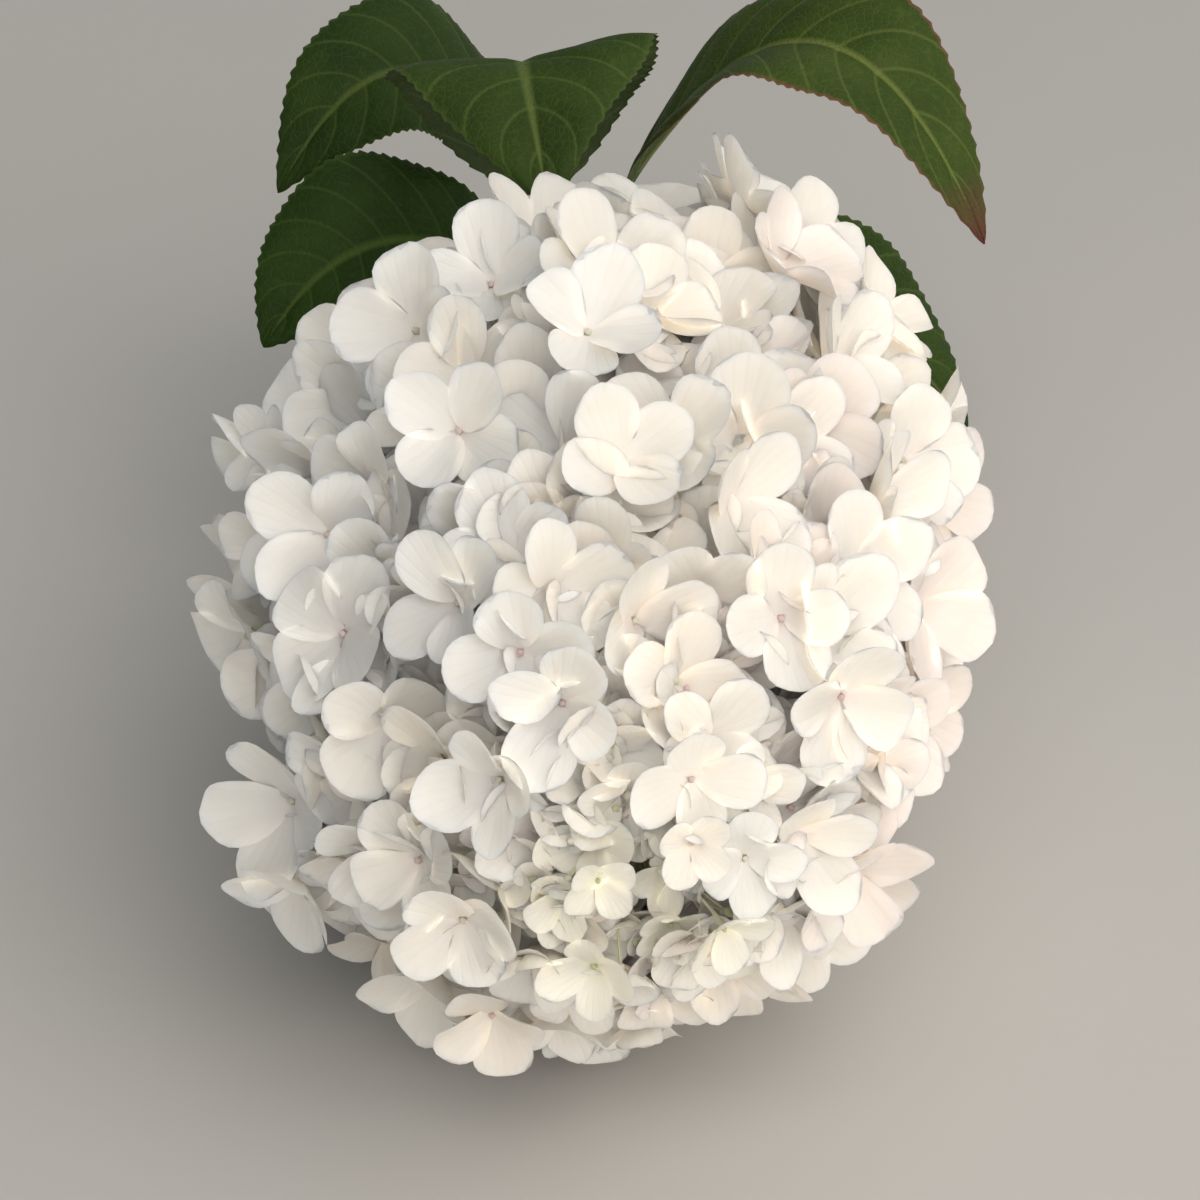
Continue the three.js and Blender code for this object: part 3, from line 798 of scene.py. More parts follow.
def sepal_material(name, colour, shade, throat):
    """Thin petal flesh that lets light through, with faint fanned veins and a flush at its foot."""
    material, tree, shader = surface(
        name, 0.55, Specular_IOR_Level=0.3, Subsurface_Weight=0.7, Subsurface_Scale=0.0035,
        Subsurface_Radius=(1, 0.85, 0.65),
    )
    shader.subsurface_method = "BURLEY"
    place, fan, along = coordinates(tree)
    clouds = noise(tree, place, 90, 2)
    waves = maths(tree, "SINE", times(tree, fan, 44.0))
    lines = maths(tree, "POWER", maths(tree, "ABSOLUTE", waves), 8.0)
    veins = times(tree, lines, ramp(tree, along, 0.15, 0.6))
    tone = add_share(tree, ramp(tree, clouds, 0.35, 0.75), veins, 0.3)
    flesh = blend(tree, times(tree, tone, 0.6), colour, shade)
    flesh = wash(tree, flesh, ramp(tree, along, 0.32, 0.06), 0.5, throat)
    coat(tree, shader, flesh, times(tree, veins, -1.0), 0.00004)
    return material


def leaf_material(name, colour, dark, vein, margin, tip):
    """A leaf's face: midrib and side veins drawn by its own map, cloudy greens between them."""
    material, tree, shader = surface(name, 0.5, Specular_IOR_Level=0.14)
    place, share, side = coordinates(tree)
    across = maths(tree, "ABSOLUTE", maths(tree, "SUBTRACT", times(tree, side, 2.0), 1.0))
    reach = times(tree, maths(tree, "POWER", across, VEIN_CURVE), VEIN_ADVANCE)
    phase = times(tree, maths(tree, "SUBTRACT", share, reach), float(SIDE_VEINS))
    side_veins = ramp(tree, maths(tree, "PINGPONG", phase, 0.5), 0.07, 0.0)
    midrib = ramp(tree, across, 0.07, 0.015)
    clouds = noise(tree, place, 55, 4)
    cells = node(tree, "TexVoronoi", {"feature": "DISTANCE_TO_EDGE"}, Vector=place, Scale=520.0)
    net = ramp(tree, cells.outputs["Distance"], 0.12, 0.0)
    flesh = blend(tree, ramp(tree, clouds, 0.3, 0.7), colour, dark)
    flesh = wash(tree, flesh, net, 0.16, vein)
    flesh = wash(tree, flesh, side_veins, 0.45, vein)
    flesh = wash(tree, flesh, midrib, 0.85, vein)
    edge = ramp(tree, add_share(tree, across, clouds, 0.06), 0.965, 1.02)
    flesh = wash(tree, flesh, edge, 0.7, margin)
    near_tip = ramp(tree, add_share(tree, share, clouds, 0.1), 0.95, 1.06)
    flesh = wash(tree, flesh, near_tip, 0.8, tip)
    coat(tree, shader, flesh, add_share(tree, clouds, net, -0.6), 0.00025, 0.7)
    return material


def green_material(name, colour, shade, blush, roughness=0.5):
    """Soft young stalks: cloudy green with a flush of another tint here and there."""
    material, tree, shader = surface(name, roughness, Specular_IOR_Level=0.4)
    place = node(tree, "TexCoord").outputs["Object"]
    flesh = blend(tree, ramp(tree, noise(tree, place, 70), 0.3, 0.7), colour, shade)
    flesh = wash(tree, flesh, ramp(tree, noise(tree, place, 28), 0.55, 0.75), 0.6, blush)
    coat(tree, shader, flesh, noise(tree, place, 700), 0.0001)
    return material


def bark_material():
    """Young bark: olive brown turning green towards the head, with fine grain and pale lenticels."""
    material, tree, shader = surface("young_bark", 0.62, Specular_IOR_Level=0.35)
    place = node(tree, "TexCoord").outputs["Object"]
    split = node(tree, "SeparateXYZ", Vector=place)
    cloud = noise(tree, place, 120, 5)
    drawn_out = node(tree, "Mapping", Vector=place, Scale=(900.0, 90.0, 900.0))
    grain = noise(tree, drawn_out.outputs[0], 1.0, 4)
    young = ramp(tree, add_share(tree, split.outputs["Y"], cloud, 0.03), 0.12, 0.04)
    brown = blend(tree, cloud, (0.20, 0.125, 0.06), (0.29, 0.21, 0.10))
    green = blend(tree, cloud, (0.30, 0.36, 0.14), (0.45, 0.50, 0.24))
    colour = blend(tree, young, brown, green)
    pale = node(tree, "Attribute", {"attribute_name": "lenticel"}).outputs["Fac"]
    colour = wash(tree, colour, pale, 0.7, (0.55, 0.47, 0.33))
    coat(tree, shader, colour, maths(tree, "ADD", grain, cloud), 0.0003, 0.8)
    return material


def cut_material():
    """A cut stem end by its own map: pale pith, a ring of wood with rays, and a green rim."""
    material, tree, shader = surface("cut_wood", 0.7, Specular_IOR_Level=0.25)
    place, x, y = coordinates(tree)
    x = maths(tree, "SUBTRACT", x, 0.5)
    y = maths(tree, "SUBTRACT", y, 0.5)
    square = maths(tree, "ADD", times(tree, x, x), times(tree, y, y))
    share = times(tree, maths(tree, "POWER", square, 0.5), 2.0)
    rays = maths(tree, "SINE", times(tree, maths(tree, "ARCTAN2", y, x), 40.0))
    cloud = noise(tree, place, 1500)
    grain = times(tree, maths(tree, "ADD", rays, cloud), 0.25)
    wood = blend(tree, grain, (0.66, 0.58, 0.36), (0.45, 0.38, 0.2))
    pith = blend(tree, cloud, (0.74, 0.70, 0.55), (0.58, 0.52, 0.36))
    colour = blend(tree, ramp(tree, share, 0.36, 0.42), pith, wood)
    colour = blend(tree, ramp(tree, share, 0.86, 0.94), colour, (0.25, 0.34, 0.10))
    coat(tree, shader, colour, cloud, 0.0003)
    return material


# Sepals, by flesh, shade and throat, and eyes, by colour, shade and blush.
# The cool tone goes partly where painted shade falls, and the cream and blush tones partly where painted
# sunlight and bounced glow fall. The rest is dealt by chance.
SEPALS = {
    "cool": sepal_material(
        "cool_white_sepal", (0.93, 0.93, 0.915), (0.88, 0.885, 0.865), (0.92, 0.87, 0.84)
    ),
    "white": sepal_material("white_sepal", (0.95, 0.935, 0.905), (0.91, 0.89, 0.84), (0.94, 0.85, 0.82)),
    "cream": sepal_material("cream_sepal", (0.955, 0.922, 0.875), (0.92, 0.875, 0.805), (0.94, 0.88, 0.74)),
    "blush": sepal_material("blush_sepal", (0.955, 0.905, 0.875), (0.92, 0.85, 0.805), (0.94, 0.79, 0.76)),
    "young": sepal_material("young_sepal", (0.95, 0.935, 0.87), (0.925, 0.905, 0.79), (0.88, 0.89, 0.66)),
}
EYES = {
    "pale": green_material("pale_bud", (0.86, 0.83, 0.72), (0.80, 0.78, 0.62), (0.88, 0.80, 0.76), 0.4),
    "green": green_material("green_bud", (0.74, 0.76, 0.50), (0.64, 0.68, 0.40), (0.80, 0.78, 0.62), 0.4),
    "pink": green_material("pink_bud", (0.88, 0.72, 0.71), (0.83, 0.58, 0.59), (0.88, 0.80, 0.76), 0.4),
}
STALK = green_material("floret_stalk", (0.82, 0.81, 0.60), (0.74, 0.74, 0.48), (0.86, 0.80, 0.66))
TWIG = green_material("twig_skin", (0.72, 0.73, 0.46), (0.62, 0.64, 0.36), (0.76, 0.70, 0.50))
PETIOLE = green_material("leaf_stalk", (0.30, 0.34, 0.12), (0.22, 0.26, 0.09), (0.34, 0.16, 0.10))

# Leaves, by light green, dark green and vein. Their greens carry painted shade: each is darker than a lit
# leaf by the shade falling on it, the leaves at the left darkest and the one at the right lightest. The one
# at the right is flushed at its rim and its tip.
LEAF_GREENS_AND_SHADE = {
    "leaf_left": ((0.034, 0.074, 0.010), (0.019, 0.046, 0.006), (0.09, 0.15, 0.03)),
    "leaf_right": ((0.070, 0.115, 0.018), (0.036, 0.070, 0.010), (0.19, 0.24, 0.06)),
    "leaf_top": ((0.046, 0.086, 0.013), (0.026, 0.054, 0.008), (0.14, 0.20, 0.05)),
    "leaf_under": ((0.042, 0.084, 0.014), (0.024, 0.054, 0.009), (0.13, 0.18, 0.045)),
    "leaf_back_left": ((0.035, 0.073, 0.011), (0.020, 0.048, 0.007), (0.11, 0.16, 0.038)),
    "leaf_back_right": ((0.042, 0.084, 0.014), (0.024, 0.054, 0.009), (0.13, 0.18, 0.045)),
}
FLUSHED_LEAF = "leaf_right"
FLUSHED_MARGIN = (0.26, 0.10, 0.07)
FLUSHED_TIP = (0.20, 0.035, 0.055)
UNDERSIDE = (0.15, 0.20, 0.095)
UNDERSIDE_VEIN = (0.24, 0.30, 0.14)


# Sepals


def sepal_shapes(florets, numbers):
    """Four sepals to a floret, each a round plate mapped on a square grid.

    With s along the sepal and t across it, from -1 to 1, the square becomes a disc: s is multiplied
    by the root of 1 - t t / 2, and t by the root of 1 - s s / 2. The disc is stretched to the
    sepal's length and width, wider towards its tip, and raised by the floret's cup, the sepal's own
    hollow (the square of the place across), its tip's curl (the square of the place along), a tilt,
    a roll and a ripple round its rim. The under side is the top moved along the normal by a
    thickness that falls to nothing at the rim.
    """
    count = len(florets["radius"])

    def draw(low, high):
        return numbers.uniform(low, high, (count, 4, 1, 1))

    s, t = disc_grid(SEPAL_ROWS, SEPAL_COLUMNS)
    rim = s * s + t * t
    inner = (np.arange(4) % 2)[:, None, None]
    radius = florets["radius"][:, None, None, None]
    length = radius * draw(*SEPAL_LENGTH) * (1 - INNER_SMALLER * inner)
    width = radius * draw(*SEPAL_WIDTH) * (1 - INNER_SMALLER * inner)
    along = length * (SEPAL_MIDDLE + SEPAL_HALF * s)
    point = draw(0, SEPAL_POINT) * np.maximum(s, 0) ** 3 * (1 - np.abs(t)) ** 2
    along = along + radius * point
    across = width * t * (1 + draw(*SEPAL_WIDENING) * s)
    distance = np.hypot(along, across)
    height = florets["cup"][:, None, None, None] * (distance / radius) ** CUP_POWER
    height = height + radius * (
        draw(*SEPAL_HOLLOW) * t**2
        + draw(*TIP_CURL) * np.maximum(s, 0) ** 2
        + INNER_LIFT * inner * smooth((s + 1) / 0.8)
        + RIPPLE * rim**2 * np.sin(RIPPLE_WAVES * np.arctan2(t, s) + draw(*RIPPLE_START))
    )
    tilt = draw(*SEPAL_TILT) + INNER_TILT * inner
    height = height + tilt * along + draw(-SEPAL_ROLL, SEPAL_ROLL) * across
    turn = (florets["twist"][:, None] + np.arange(4) * math.pi / 2)[..., None, None, None]
    turn = turn + numbers.uniform(-SEPAL_SWING, SEPAL_SWING, turn.shape)
    side, up, facing, centre = (
        florets[key][:, None, None, None] for key in ("side", "across", "facing", "centre")
    )
    outward = side * np.cos(turn) + up * np.sin(turn)
    round_it = up * np.cos(turn) - side * np.sin(turn)
    flat = centre + outward * along[..., None] + round_it * across[..., None]
    middle = flat + facing * height[..., None]
    half = SEPAL_THICKNESS / 2 * np.sqrt(np.clip(1 - rim**3, 0, 1))[..., None]
    normal = surface_normals(middle)
    fan = across / (along + VEIN_FAN_FOOT * radius) * 0.5 + 0.5
    uv = np.stack(np.broadcast_arrays(fan, along / radius), -1)
    return middle + normal * half, middle - normal * half, uv


def deal_sepals(florets, numbers, first_count):
    """A tone for each floret: painted shade cools it to the left and above, painted sunlight warms it to
    the right, a painted bounce glow warms it behind the first round, chance spreads it, and it is young at
    the tip.
    """
    outward = unit(florets["centre"] - MIDDLE)
    count = len(outward)
    # Painted light: warmth to the right stands for sunlight, coolness above for shade, and warmth behind
    # the first round for light bounced between florets. Only the chance spread is the florets' own tone.
    warm = SUNLIT_WARMTH_RIGHT * (outward @ RIGHT) - SHADE_COOLNESS_ABOVE * outward[:, 2]
    warm = warm + numbers.normal(0, WARM_CHANCE, count)
    warm = warm + BOUNCED_GLOW_BEHIND * (np.arange(count) >= first_count)
    tone = np.select([warm < limit for limit in TONE_LIMITS.values()], list(TONE_LIMITS), "blush")
    at_tip = florets["u"] + numbers.normal(0, YOUNG_BLUR, count) > YOUNG_FROM
    return np.where(at_tip & (numbers.random(count) < YOUNG_SHARE), "young", tone)


def sepal_pieces(tones, shapes):
    """The sepals of each tone, joined."""
    for tone, material in SEPALS.items():
        top, under, uv = (values[tones == tone].reshape(-1, *values.shape[2:]) for values in shapes)
        points, quads, rims = sheets(top, under)
        uv = sheet_map(uv)
        piece("sepals_" + tone, points, [quads], [material], FLORET_NODES, uv=uv, sharp=rims)


# Eyes, stalks and twigs


def eye_paths(florets):
    """A bud's middle line: six points up from the floret's middle, along the way that it faces."""
    steps = np.linspace(0, 1, len(BUD_PROFILE))[None, :, None]
    scale = (florets["radius"] / FLORET_RADIUS) ** 0.5
    reach = florets["facing"][:, None] * EYE_HEIGHT * steps * scale[:, None, None]
    start = florets["centre"] + florets["facing"] * EYE_RISE
    return start[:, None] + reach, BUD_PROFILE * EYE_RADIUS * scale[:, None]


def bud_pieces(name, tones, paths, radii):
    """Eyes or flower buds, those of each tone joined."""
    for tone, material in EYES.items():
        chosen = tones == tone
        lines, profiles = paths[chosen], radii[chosen]
        tube_piece(name + tone, lines, profiles, material, "sepals", FLORET_NODES, sides=5)


def twig_tips(florets, clusters):
    """Where each floret's stalk leaves its twig: a cluster's florets share twigs, up to four to one.

    The florets round a cluster's branch are put in order of their angle about it, and each few
    share a twig that ends part way from the hub to their middle.
    """
    tips = np.zeros_like(florets["centre"])
    twigs = []
    for cluster in range(CLUSTERS + 1):
        here = np.flatnonzero(florets["cluster"] == cluster)
        hub = clusters["hub"][cluster]
        normal = clusters["normal"][cluster]
        side = unit(np.cross(normal, RIGHT + 0.3 * OVER))
        offset = florets["centre"][here] - hub
        angle = np.arctan2(offset @ np.cross(normal, side), offset @ side)
        order = here[np.argsort(angle)]
        for group in np.array_split(order, max(1, math.ceil(len(order) / FLORETS_TO_A_TWIG))):
            tip = hub + (florets["centre"][group].mean(0) - hub) * TWIG_SHARE
            tips[group] = tip
            twigs.append((hub, tip, florets["u"][group].mean()))
    hubs, ends, places = (np.array(values) for values in zip(*twigs))
    return tips, {"hub": hubs, "tip": ends, "u": places}


def bent_paths(start, finish, leave, arrive, steps):
    """Cubic curves from start to finish that leave and arrive along the given vectors."""
    share = np.linspace(0, 1, steps)[None, :, None]
    controls = [start, start + leave, finish - arrive, finish]
    weights = [math.comb(3, i) * share**i * (1 - share) ** (3 - i) for i in range(4)]
    return sum(weight * control[:, None] for weight, control in zip(weights, controls))


def stalk_paths(florets, tips):
    """Floret stalks: from the twig's tip, bending to meet the floret from straight below."""
    foot = florets["centre"] - florets["facing"] * STALK_SINK
    reach = np.linalg.norm(foot - tips, axis=1, keepdims=True)
    leave = (foot - tips) * STALK_LEAVE
    arrive = florets["facing"] * reach * STALK_ARRIVE
    paths = bent_paths(tips, foot, leave, arrive, len(STALK_PROFILE))
    return paths, STALK_PROFILE * ((florets["radius"] / FLORET_RADIUS) ** 0.5)[:, None]


def limb_piece(name, start, finish, arrive, profile, scatter, numbers, sides):
    """Twigs or side branches: bent paths, moved a little by chance between their ends."""
    way = finish - start
    paths = bent_paths(start, finish, way * LIMB_LEAVE, way * arrive, len(profile))
    paths[:, 1:-1] += numbers.normal(0, scatter, paths[:, 1:-1].shape)
    radii = np.tile(profile, (len(paths), 1))
    tube_piece(name, paths, radii, TWIG, "stem", FLORET_NODES, sides)


def fertile_buds(twigs, numbers):
    """Small flower buds round each twig's tip: a few stalks thrown out at chance, a bud on each."""
    count = len(twigs["tip"]) * BUDS_TO_A_TWIG
    start = np.repeat(twigs["tip"], BUDS_TO_A_TWIG, axis=0)
    outward = unit(np.repeat(twigs["tip"] - twigs["hub"], BUDS_TO_A_TWIG, axis=0))
    direction = unit(outward + numbers.normal(0, BUD_SPREAD, (count, 3)))
    at_tip = smooth((np.repeat(twigs["u"], BUDS_TO_A_TWIG) - TIP_BUDS_FROM) / TIP_BUDS_FROM)
    reach = numbers.uniform(*BUD_STALK, count) * (1 + TIP_BUDS_LONGER * at_tip)
    end = start + direction * reach[:, None]
    bend = numbers.normal(0, BUD_BEND, (count, 3))
    stalks = bent_paths(start, end, outward * reach[:, None] * 0.3 + bend, direction * 2, 5)
    size = numbers.uniform(*FERTILE_BUD, count)
    steps = np.linspace(0, BUD_LENGTH, len(BUD_PROFILE))[None, :, None] * size[:, None, None]
    buds = end[:, None] + direction[:, None] * (steps - 0.2)
    return stalks, buds, BUD_PROFILE * size[:, None], at_tip


# Leaves


def leaf_width(share):
    """Sine of pi times the share to the power 0.86, raised to 0.7, less 0.3 times its sixth power."""
    return np.sin(math.pi * np.clip(share, 0, 1) ** 0.86) ** 0.7 * (1 - 0.3 * share**6)


def leaf_frame(name, share):
    """Points and directions along a leaf's middle line, which is a curve by three points."""
    leaf = LEAVES[name]
    start = NODE_PLACES[leaf["node"]]
    bend, tip = np.array(leaf["bend"], float), np.array(leaf["tip"], float)
    share = np.asarray(share, float)

    def tangent(at):
        return unit((bend - start) * (1 - at) + (tip - bend) * at)

    level = unit(np.cross(bend - start, tip - bend))
    level = level * (1 if level @ AXIS >= 0 else -1)
    over = 1 if np.cross(tangent(0.7), level)[2] > 0 else -1
    direction = tangent(share[..., None])
    normal = np.cross(direction, level) * over
    roll = leaf["roll"] * DEGREE
    normal = unit(normal * math.cos(roll) + level * math.sin(roll))
    return bezier((start, bend, tip), share), normal, np.cross(normal, direction)


def leaf_sheet(name, phase):
    """One leaf's two faces, with s along the blade and t across it.

    The half width is the outline at s, stretched near the edge by teeth: a saw wave of s that leans
    to the tip, times t to the power 8. Each half rises from the midrib by the fold, falls away again
    by the fourth power of t, and waves along the edge by a sine of s. Between the side veins, which
    run forward by the power VEIN_CURVE of t, the blade swells by a rounded wave, and the midrib and
    the veins are bell-shaped furrows on top and ribs underneath.
    """
    s = np.linspace(0, 1, LEAF_ROWS + 1)[:, None]
    t = np.linspace(-1, 1, LEAF_COLUMNS + 1)[None]
    t = np.sign(t) * np.abs(t) ** COLUMNS_TO_MIDRIB
    edge = np.abs(t)
    point, normal, across = leaf_frame(name, PETIOLE_SHARE + (1 - PETIOLE_SHARE) * s[:, 0])
    half = LEAVES[name]["width"] / 2 * leaf_width(s)
    saw = (s * TEETH) % 1
    teeth = np.where(saw < TOOTH_LEAN, saw / TOOTH_LEAN, (1 - saw) / (1 - TOOTH_LEAN)) - 0.5
    reach = half * t + np.sign(t) * TOOTH_DEPTH * teeth * edge**8 * smooth(half / 5)
    rise = LEAVES[name]["fold"] * half * np.sqrt(edge**2 + 0.004) - EDGE_FALL * half * edge**4
    wave = np.sin(2 * math.pi * (EDGE_WAVES * s + phase) + 1.2 * np.sign(t))
    rise = rise + EDGE_WAVE * half * edge**2 * wave
    vein = (s - VEIN_ADVANCE * edge**VEIN_CURVE) * SIDE_VEINS
    swell = np.abs(np.sin(math.pi * vein)) ** 0.6 * (1 - edge**6)
    rise = rise + QUILTING * (swell * smooth(edge / 0.12) * smooth(s / 0.06))
    side_vein = np.exp(-(((vein - np.round(vein)) / SIDE_VEIN_WIDTH) ** 2))
    side_vein = side_vein * (1 - edge**4) * smooth(edge / 0.1)
    midrib = np.exp(-((reach / MIDRIB_WIDTH) ** 2)) * (1 - 0.6 * s)
    ends = smooth(half / 3)
    furrow = (FURROWS[0] * midrib + FURROWS[1] * side_vein) * ends
    rib = (RIBS[0] * midrib + RIBS[1] * side_vein) * ends
    thick = LEAF_THICKNESS / 2 * (1 - edge**8) * ends

    def face(height):
        return point[:, None] + across[:, None] * reach[..., None] + normal[:, None] * height[..., None]

    top, under = face(rise - furrow + thick), face(rise - rib - thick)
    rim = (edge == 1) | (s == 0) | (s == 1)
    under = np.where(rim[..., None], top, under)
    uv = np.stack(np.broadcast_arrays(s, (t + 1) / 2), -1)
    return top[None], under[None], uv[None]


def mixed(first, second, share):
    """A colour between two: a share of the first and the rest of the second."""
    return tuple(share * a + (1 - share) * b for a, b in zip(first, second))


def leaf_piece(name, phase, colour, dark, vein):
    """A leaf's blade, with a paler material on its under face."""
    flushed = name == FLUSHED_LEAF
    margin = FLUSHED_MARGIN if flushed else mixed(colour, vein, 0.6)
    tip = FLUSHED_TIP if flushed else colour
    pale, pale_dark = mixed(colour, UNDERSIDE, 0.4), mixed(dark, UNDERSIDE, 0.4)
    materials = [
        leaf_material(name + "_face", colour, dark, vein, margin, tip),
        leaf_material(name + "_underside", pale, pale_dark, UNDERSIDE_VEIN, margin, tip),
    ]
    top, under, uv = leaf_sheet(name, phase)
    points, quads, rims = sheets(top, under)
    kinds = np.repeat([0, 1], len(quads) // 2)
    uv = sheet_map(uv)
    piece(name + "_blade", points, [quads], materials, [name], uv=uv, sharp=rims, kinds=kinds)


def leaf_stalks():
    """Middle lines of the leaf stalks, from inside the stem to a sixth of the way along the blade."""
    share = np.linspace(0, PETIOLE_END, 10)
    frames = [leaf_frame(name, share) for name in LEAVES]
    lines, under, _ = (np.array(values) for values in zip(*frames))
    sunk = PETIOLE_SINK * smooth((share - PETIOLE_SHARE) / 0.08)[None, :, None]
    radii = PETIOLE_RADIUS * (1.1 - 0.75 * smooth(share / PETIOLE_END))
    return lines - under * sunk, np.tile(radii, (len(LEAVES), 1))


def axil_buds():
    """A pointed bud between each leaf stalk and the stem: a pear profile along the way between."""
    paths = []
    lean_at_start, lean_on = AXIL_BUD_LEAN
    for name, leaf in LEAVES.items():
        place = NODE_PLACES[leaf["node"]]
        leaf_way = unit(leaf_frame(name, 0.06)[0] - place)
        stem_way = unit(bezier(STEM_BEND, STEM_NODES[leaf["node"]] + 0.04) - place)
        way = unit(leaf_way + lean_on * stem_way)
        start = place + unit(leaf_way + lean_at_start * stem_way) * AXIL_BUD_START
        paths.append(start + way * np.linspace(0, AXIL_BUD_LENGTH, len(AXIL_BUD_PROFILE))[:, None])
    return np.array(paths), np.tile(AXIL_BUD_PROFILE, (len(LEAVES), 1))


# The stem


def stem_bark():
    """The stem from its cut end to the end of the head's axis.

    Its radius tapers evenly along the bend, then along the head's axis, and swells by a bell at each
    node. To it come low ridges along the stem, each a cosine round it that drifts along it, a raised
    line by each node, and lenticels: small ovals, each a bell over the distance from it.
    """
    bend_share = np.linspace(0, 1, STEM_STEPS)
    axis_share = np.linspace(0, 1, STEM_STEPS // 3)[1:]
    reach = HEAD_HALF_LENGTH + RACHIS_END
    path = np.vstack([bezier(STEM_BEND, bend_share), HEAD_BASE + AXIS * reach * axis_share[:, None]])
    cut, neck, end = STEM_RADII
    radius = np.concatenate([cut + (neck - cut) * bend_share, neck + (end - neck) * axis_share])
    to_node = np.linalg.norm(path[:, None] - NODE_PLACES, axis=2).min(1)[:, None]
    radius = radius[:, None] + NODE_SWELL * np.exp(-((to_node / NODE_WIDTH) ** 2))
    length = np.concatenate([[0], np.cumsum(np.linalg.norm(np.diff(path, axis=0), axis=1))])[:, None]
    turn = np.arange(STEM_SIDES)[None] / STEM_SIDES * 2 * math.pi
    ridges = sum(high * np.cos(waves * turn + length / drift) for high, waves, drift in RIDGES)
    scar = SCAR_RISE * np.exp(-(((to_node - SCAR_OFF_NODE) / SCAR_WIDTH) ** 2))
    numbers = np.random.default_rng(LENTICEL_SEED)
    where = numbers.uniform(1, LENTICELS_END, LENTICELS)
    facing = numbers.uniform(0, 2 * math.pi, LENTICELS)
    off = (turn[..., None] - facing + math.pi) % (2 * math.pi) - math.pi
    tall, wide = LENTICEL_SIZE
    ovals = np.exp(-(((length[..., None] - where) / tall) ** 2) - (off * radius[..., None] / wide) ** 2)
    lenticel = np.clip(ovals.sum(-1), 0, 1)
    radii = (radius + ridges + scar + LENTICEL_RISE * lenticel)[None]
    points, quads, ends = tubes(path[None], radii, STEM_SIDES)
    bark = bark_material()
    piece("stem_bark", points, [quads, ends], [bark], ["stem"], lenticel=lenticel.ravel())


def cut_face():
    """The cut end: a disc a little hollow at its pith, with the saw's low ripples across it."""
    s, t = disc_grid(20, 20)
    inward = unit(bezier(STEM_BEND, 0.02) - CUT_END)
    side = unit(np.cross(inward, UP))
    across = np.cross(side, inward)
    share = np.hypot(s, t)
    height = PITH_HOLLOW * smooth(share / 0.4) + SAW_RIPPLE * np.sin(17 * s + 2 * t) + 0.05
    height = np.where(share > CUT_SHARE, 0, height)
    spread = side * s[..., None] + across * t[..., None]
    top = CUT_END + spread * STEM_RADII[0] * CUT_SHARE - inward * height[..., None]
    under = np.where((share > 0.999)[..., None], top, top + inward * 0.6)
    points, quads, _ = sheets(top[None], under[None])
    uv = sheet_map((np.stack([s, t], -1) / 2 + 0.5)[None])
    piece("cut_face", points, [quads], [cut_material()], ["stem"], uv=uv)


# Floor, light and camera


def floor():
    """A pale matt floor, far larger than the view."""
    mesh = bpy.data.meshes.new("floor")
    corners = [(x * FLOOR_REACH, y * FLOOR_REACH, 0) for x, y in ((-1, -1), (1, -1), (1, 1), (-1, 1))]
    mesh.from_pydata(corners, [], [(0, 1, 2, 3)])
    material, tree, shader = surface("pale_floor", 0.8, Specular_IOR_Level=0.2)
    cloud = noise(tree, node(tree, "TexCoord").outputs["Object"], 6)
    colour = blend(tree, cloud, (0.68, 0.665, 0.64), (0.72, 0.705, 0.68))
    tree.links.new(colour, shader.inputs["Base Color"])
    mesh.materials.append(material)
    made = bpy.data.objects.new("floor", mesh)
    bpy.context.scene.collection.objects.link(made)


def lamp(name, place, size, energy, colour):
    """A square soft light at a place, turned to face the head."""
    light = bpy.data.lights.new(name, "AREA")
    light.size = size
    light.energy = energy
    light.color = colour
    made = bpy.data.objects.new(name, light)
    made.location = place
    made.rotation_euler = (Vector(LAMP_AIM) - Vector(place)).to_track_quat("-Z", "Y").to_euler()
    bpy.context.scene.collection.objects.link(made)


def soft_room():
    """Soft light from all round: weak and cool from the left, strong and warm from the right."""
    world = bpy.data.worlds.new("studio")
    world.use_nodes = True
    tree = world.node_tree
    background = tree.nodes["Background"]
    way = node(tree, "SeparateXYZ", Vector=node(tree, "TexCoord").outputs["Generated"]).outputs["X"]
    left, right = ROOM_LIGHT
    strength = node(tree, "MapRange", Value=way, From_Min=-1.0, To_Min=left, To_Max=right)
    tint = blend(tree, ramp(tree, way, -0.8, 0.8), (0.88, 0.965, 1), (1, 0.95, 0.875))
    tree.links.new(strength.outputs[0], background.inputs["Strength"])
    tree.links.new(tint, background.inputs["Color"])
    bpy.context.scene.world = world


def camera():
    """At the photograph's angle above the horizon, one metre from the head's middle."""
    middle = Vector((MIDDLE + SHIFT) * METRE) + Vector((FRAME_OFFSET * METRE, 0, 0))
    way = Vector((0, -math.cos(CAMERA_ELEVATION), math.sin(CAMERA_ELEVATION)))
    data = bpy.data.cameras.new("camera")
    data.sensor_width = SENSOR
    data.lens = LENS
    made = bpy.data.objects.new("camera", data)
    made.location = middle + way * CAMERA_DISTANCE
    made.rotation_euler = (-way).to_track_quat("-Z", "Y").to_euler()
    bpy.context.scene.collection.objects.link(made)
    bpy.context.scene.camera = made


# The florets, in their places

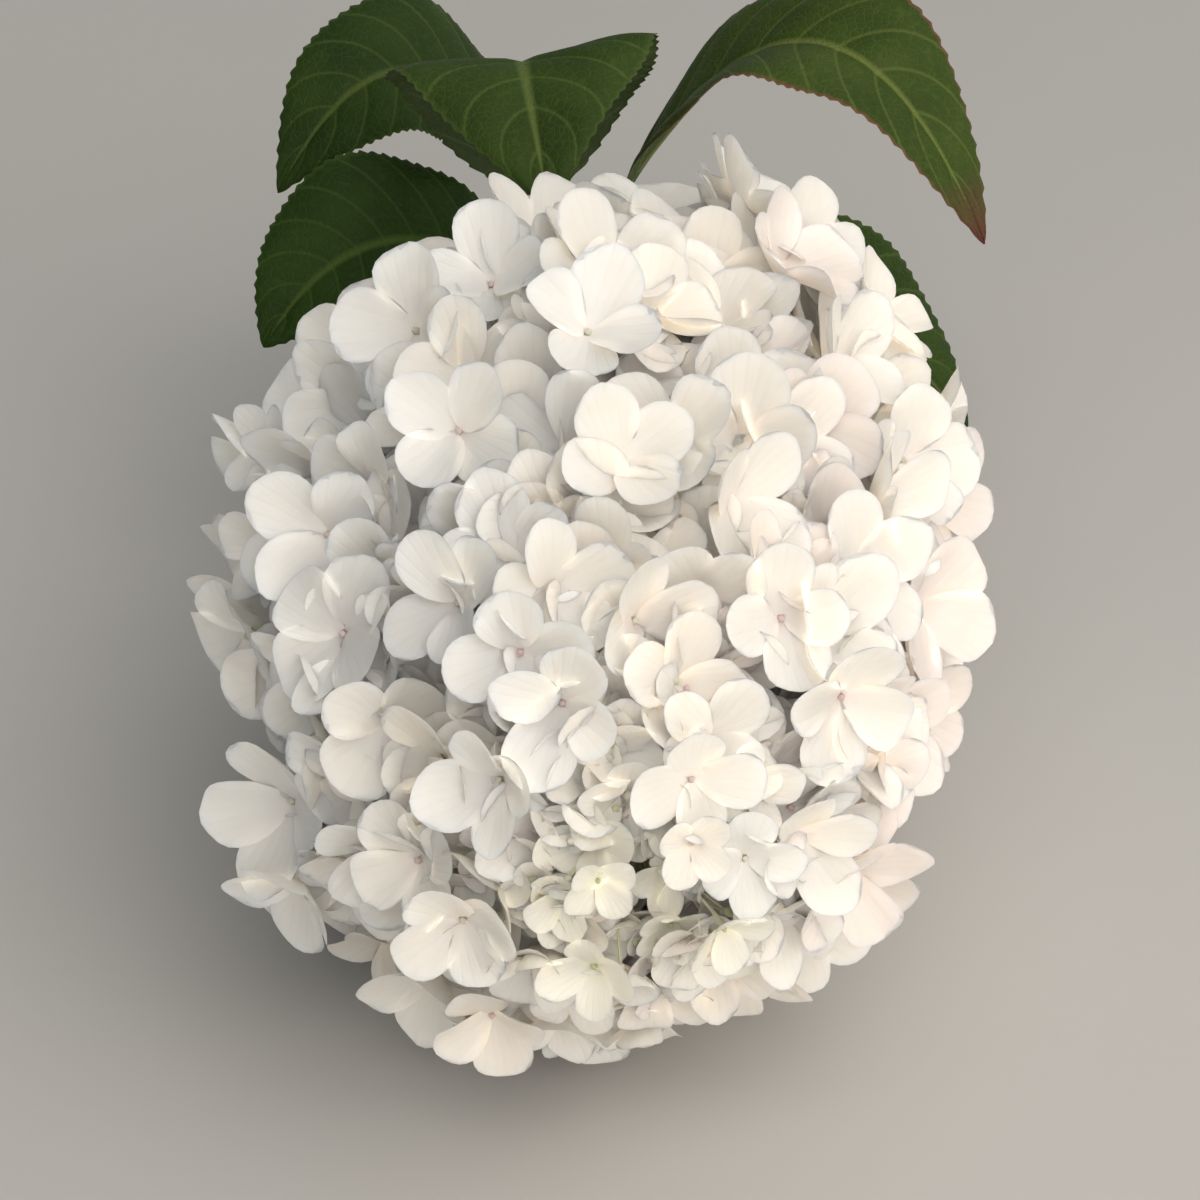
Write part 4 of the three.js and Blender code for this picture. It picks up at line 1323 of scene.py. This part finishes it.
clusters = make_clusters()
head = Head(sum(how["count"] for how in ROUNDS))
counts = []
for how in ROUNDS:
    set_out(head, clusters, how)
    counts.append(head.count)
numbers = np.random.default_rng(LOOKS_SEED)
florets = true_florets(head.taken(), numbers)
shapes = sepal_shapes(florets, numbers)
tones = deal_sepals(florets, numbers, counts[0])
sepal_pieces(tones, shapes)

chance = numbers.random(len(tones))
cases = [tones == "young", chance < PINK_EYES, chance < PINK_OR_GREEN_EYES]
eyes = np.select(cases, ["green", "pink", "green"], "pale")
bud_pieces("eyes_", eyes, *eye_paths(florets))

# What carries them

tips, twigs = twig_tips(florets, clusters)
stalks, stalk_radii = stalk_paths(florets, tips)
tube_piece("floret_stalks", stalks, stalk_radii, STALK, "stem", FLORET_NODES, sides=5)
ends = twigs["hub"], twigs["tip"]
limb_piece("twigs", *ends, 0.4, TWIG_PROFILE, TWIG_SCATTER, numbers, sides=6)
ends = clusters["from"], clusters["hub"]
limb_piece("side_branches", *ends, 0.3, BRANCH_PROFILE, BRANCH_SCATTER, numbers, sides=8)

bud_stalks, bud_lines, bud_radii, at_tip = fertile_buds(twigs, numbers)
stalk_radii = np.full(bud_stalks.shape[:2], BUD_STALK_RADIUS)
tube_piece("bud_stalks", bud_stalks, stalk_radii, STALK, "stem", FLORET_NODES, sides=4)
chance = numbers.random(len(at_tip))
cases = [chance < PINK_BUDS + PINKER_AT_TIP * at_tip, chance < PINK_OR_GREEN_BUDS]
buds = np.select(cases, ["pink", "green"], "pale")
bud_pieces("buds_", buds, bud_lines, bud_radii)

# Leaves and stem

for i, (name, colours) in enumerate(LEAF_GREENS_AND_SHADE.items()):
    leaf_piece(name, FIRST_WAVE + NEXT_WAVE * i, *colours)
tube_piece("leaf_stalks", *leaf_stalks(), PETIOLE, "leaf", list(LEAVES), sides=9)
tube_piece("axil_buds", *axil_buds(), PETIOLE, "stem", ["stem"], sides=7)
stem_bark()
cut_face()

floor()
for name, settings in LAMPS.items():
    lamp(name, *settings)
soft_room()
bpy.context.scene.view_settings.view_transform = "Standard"
camera()
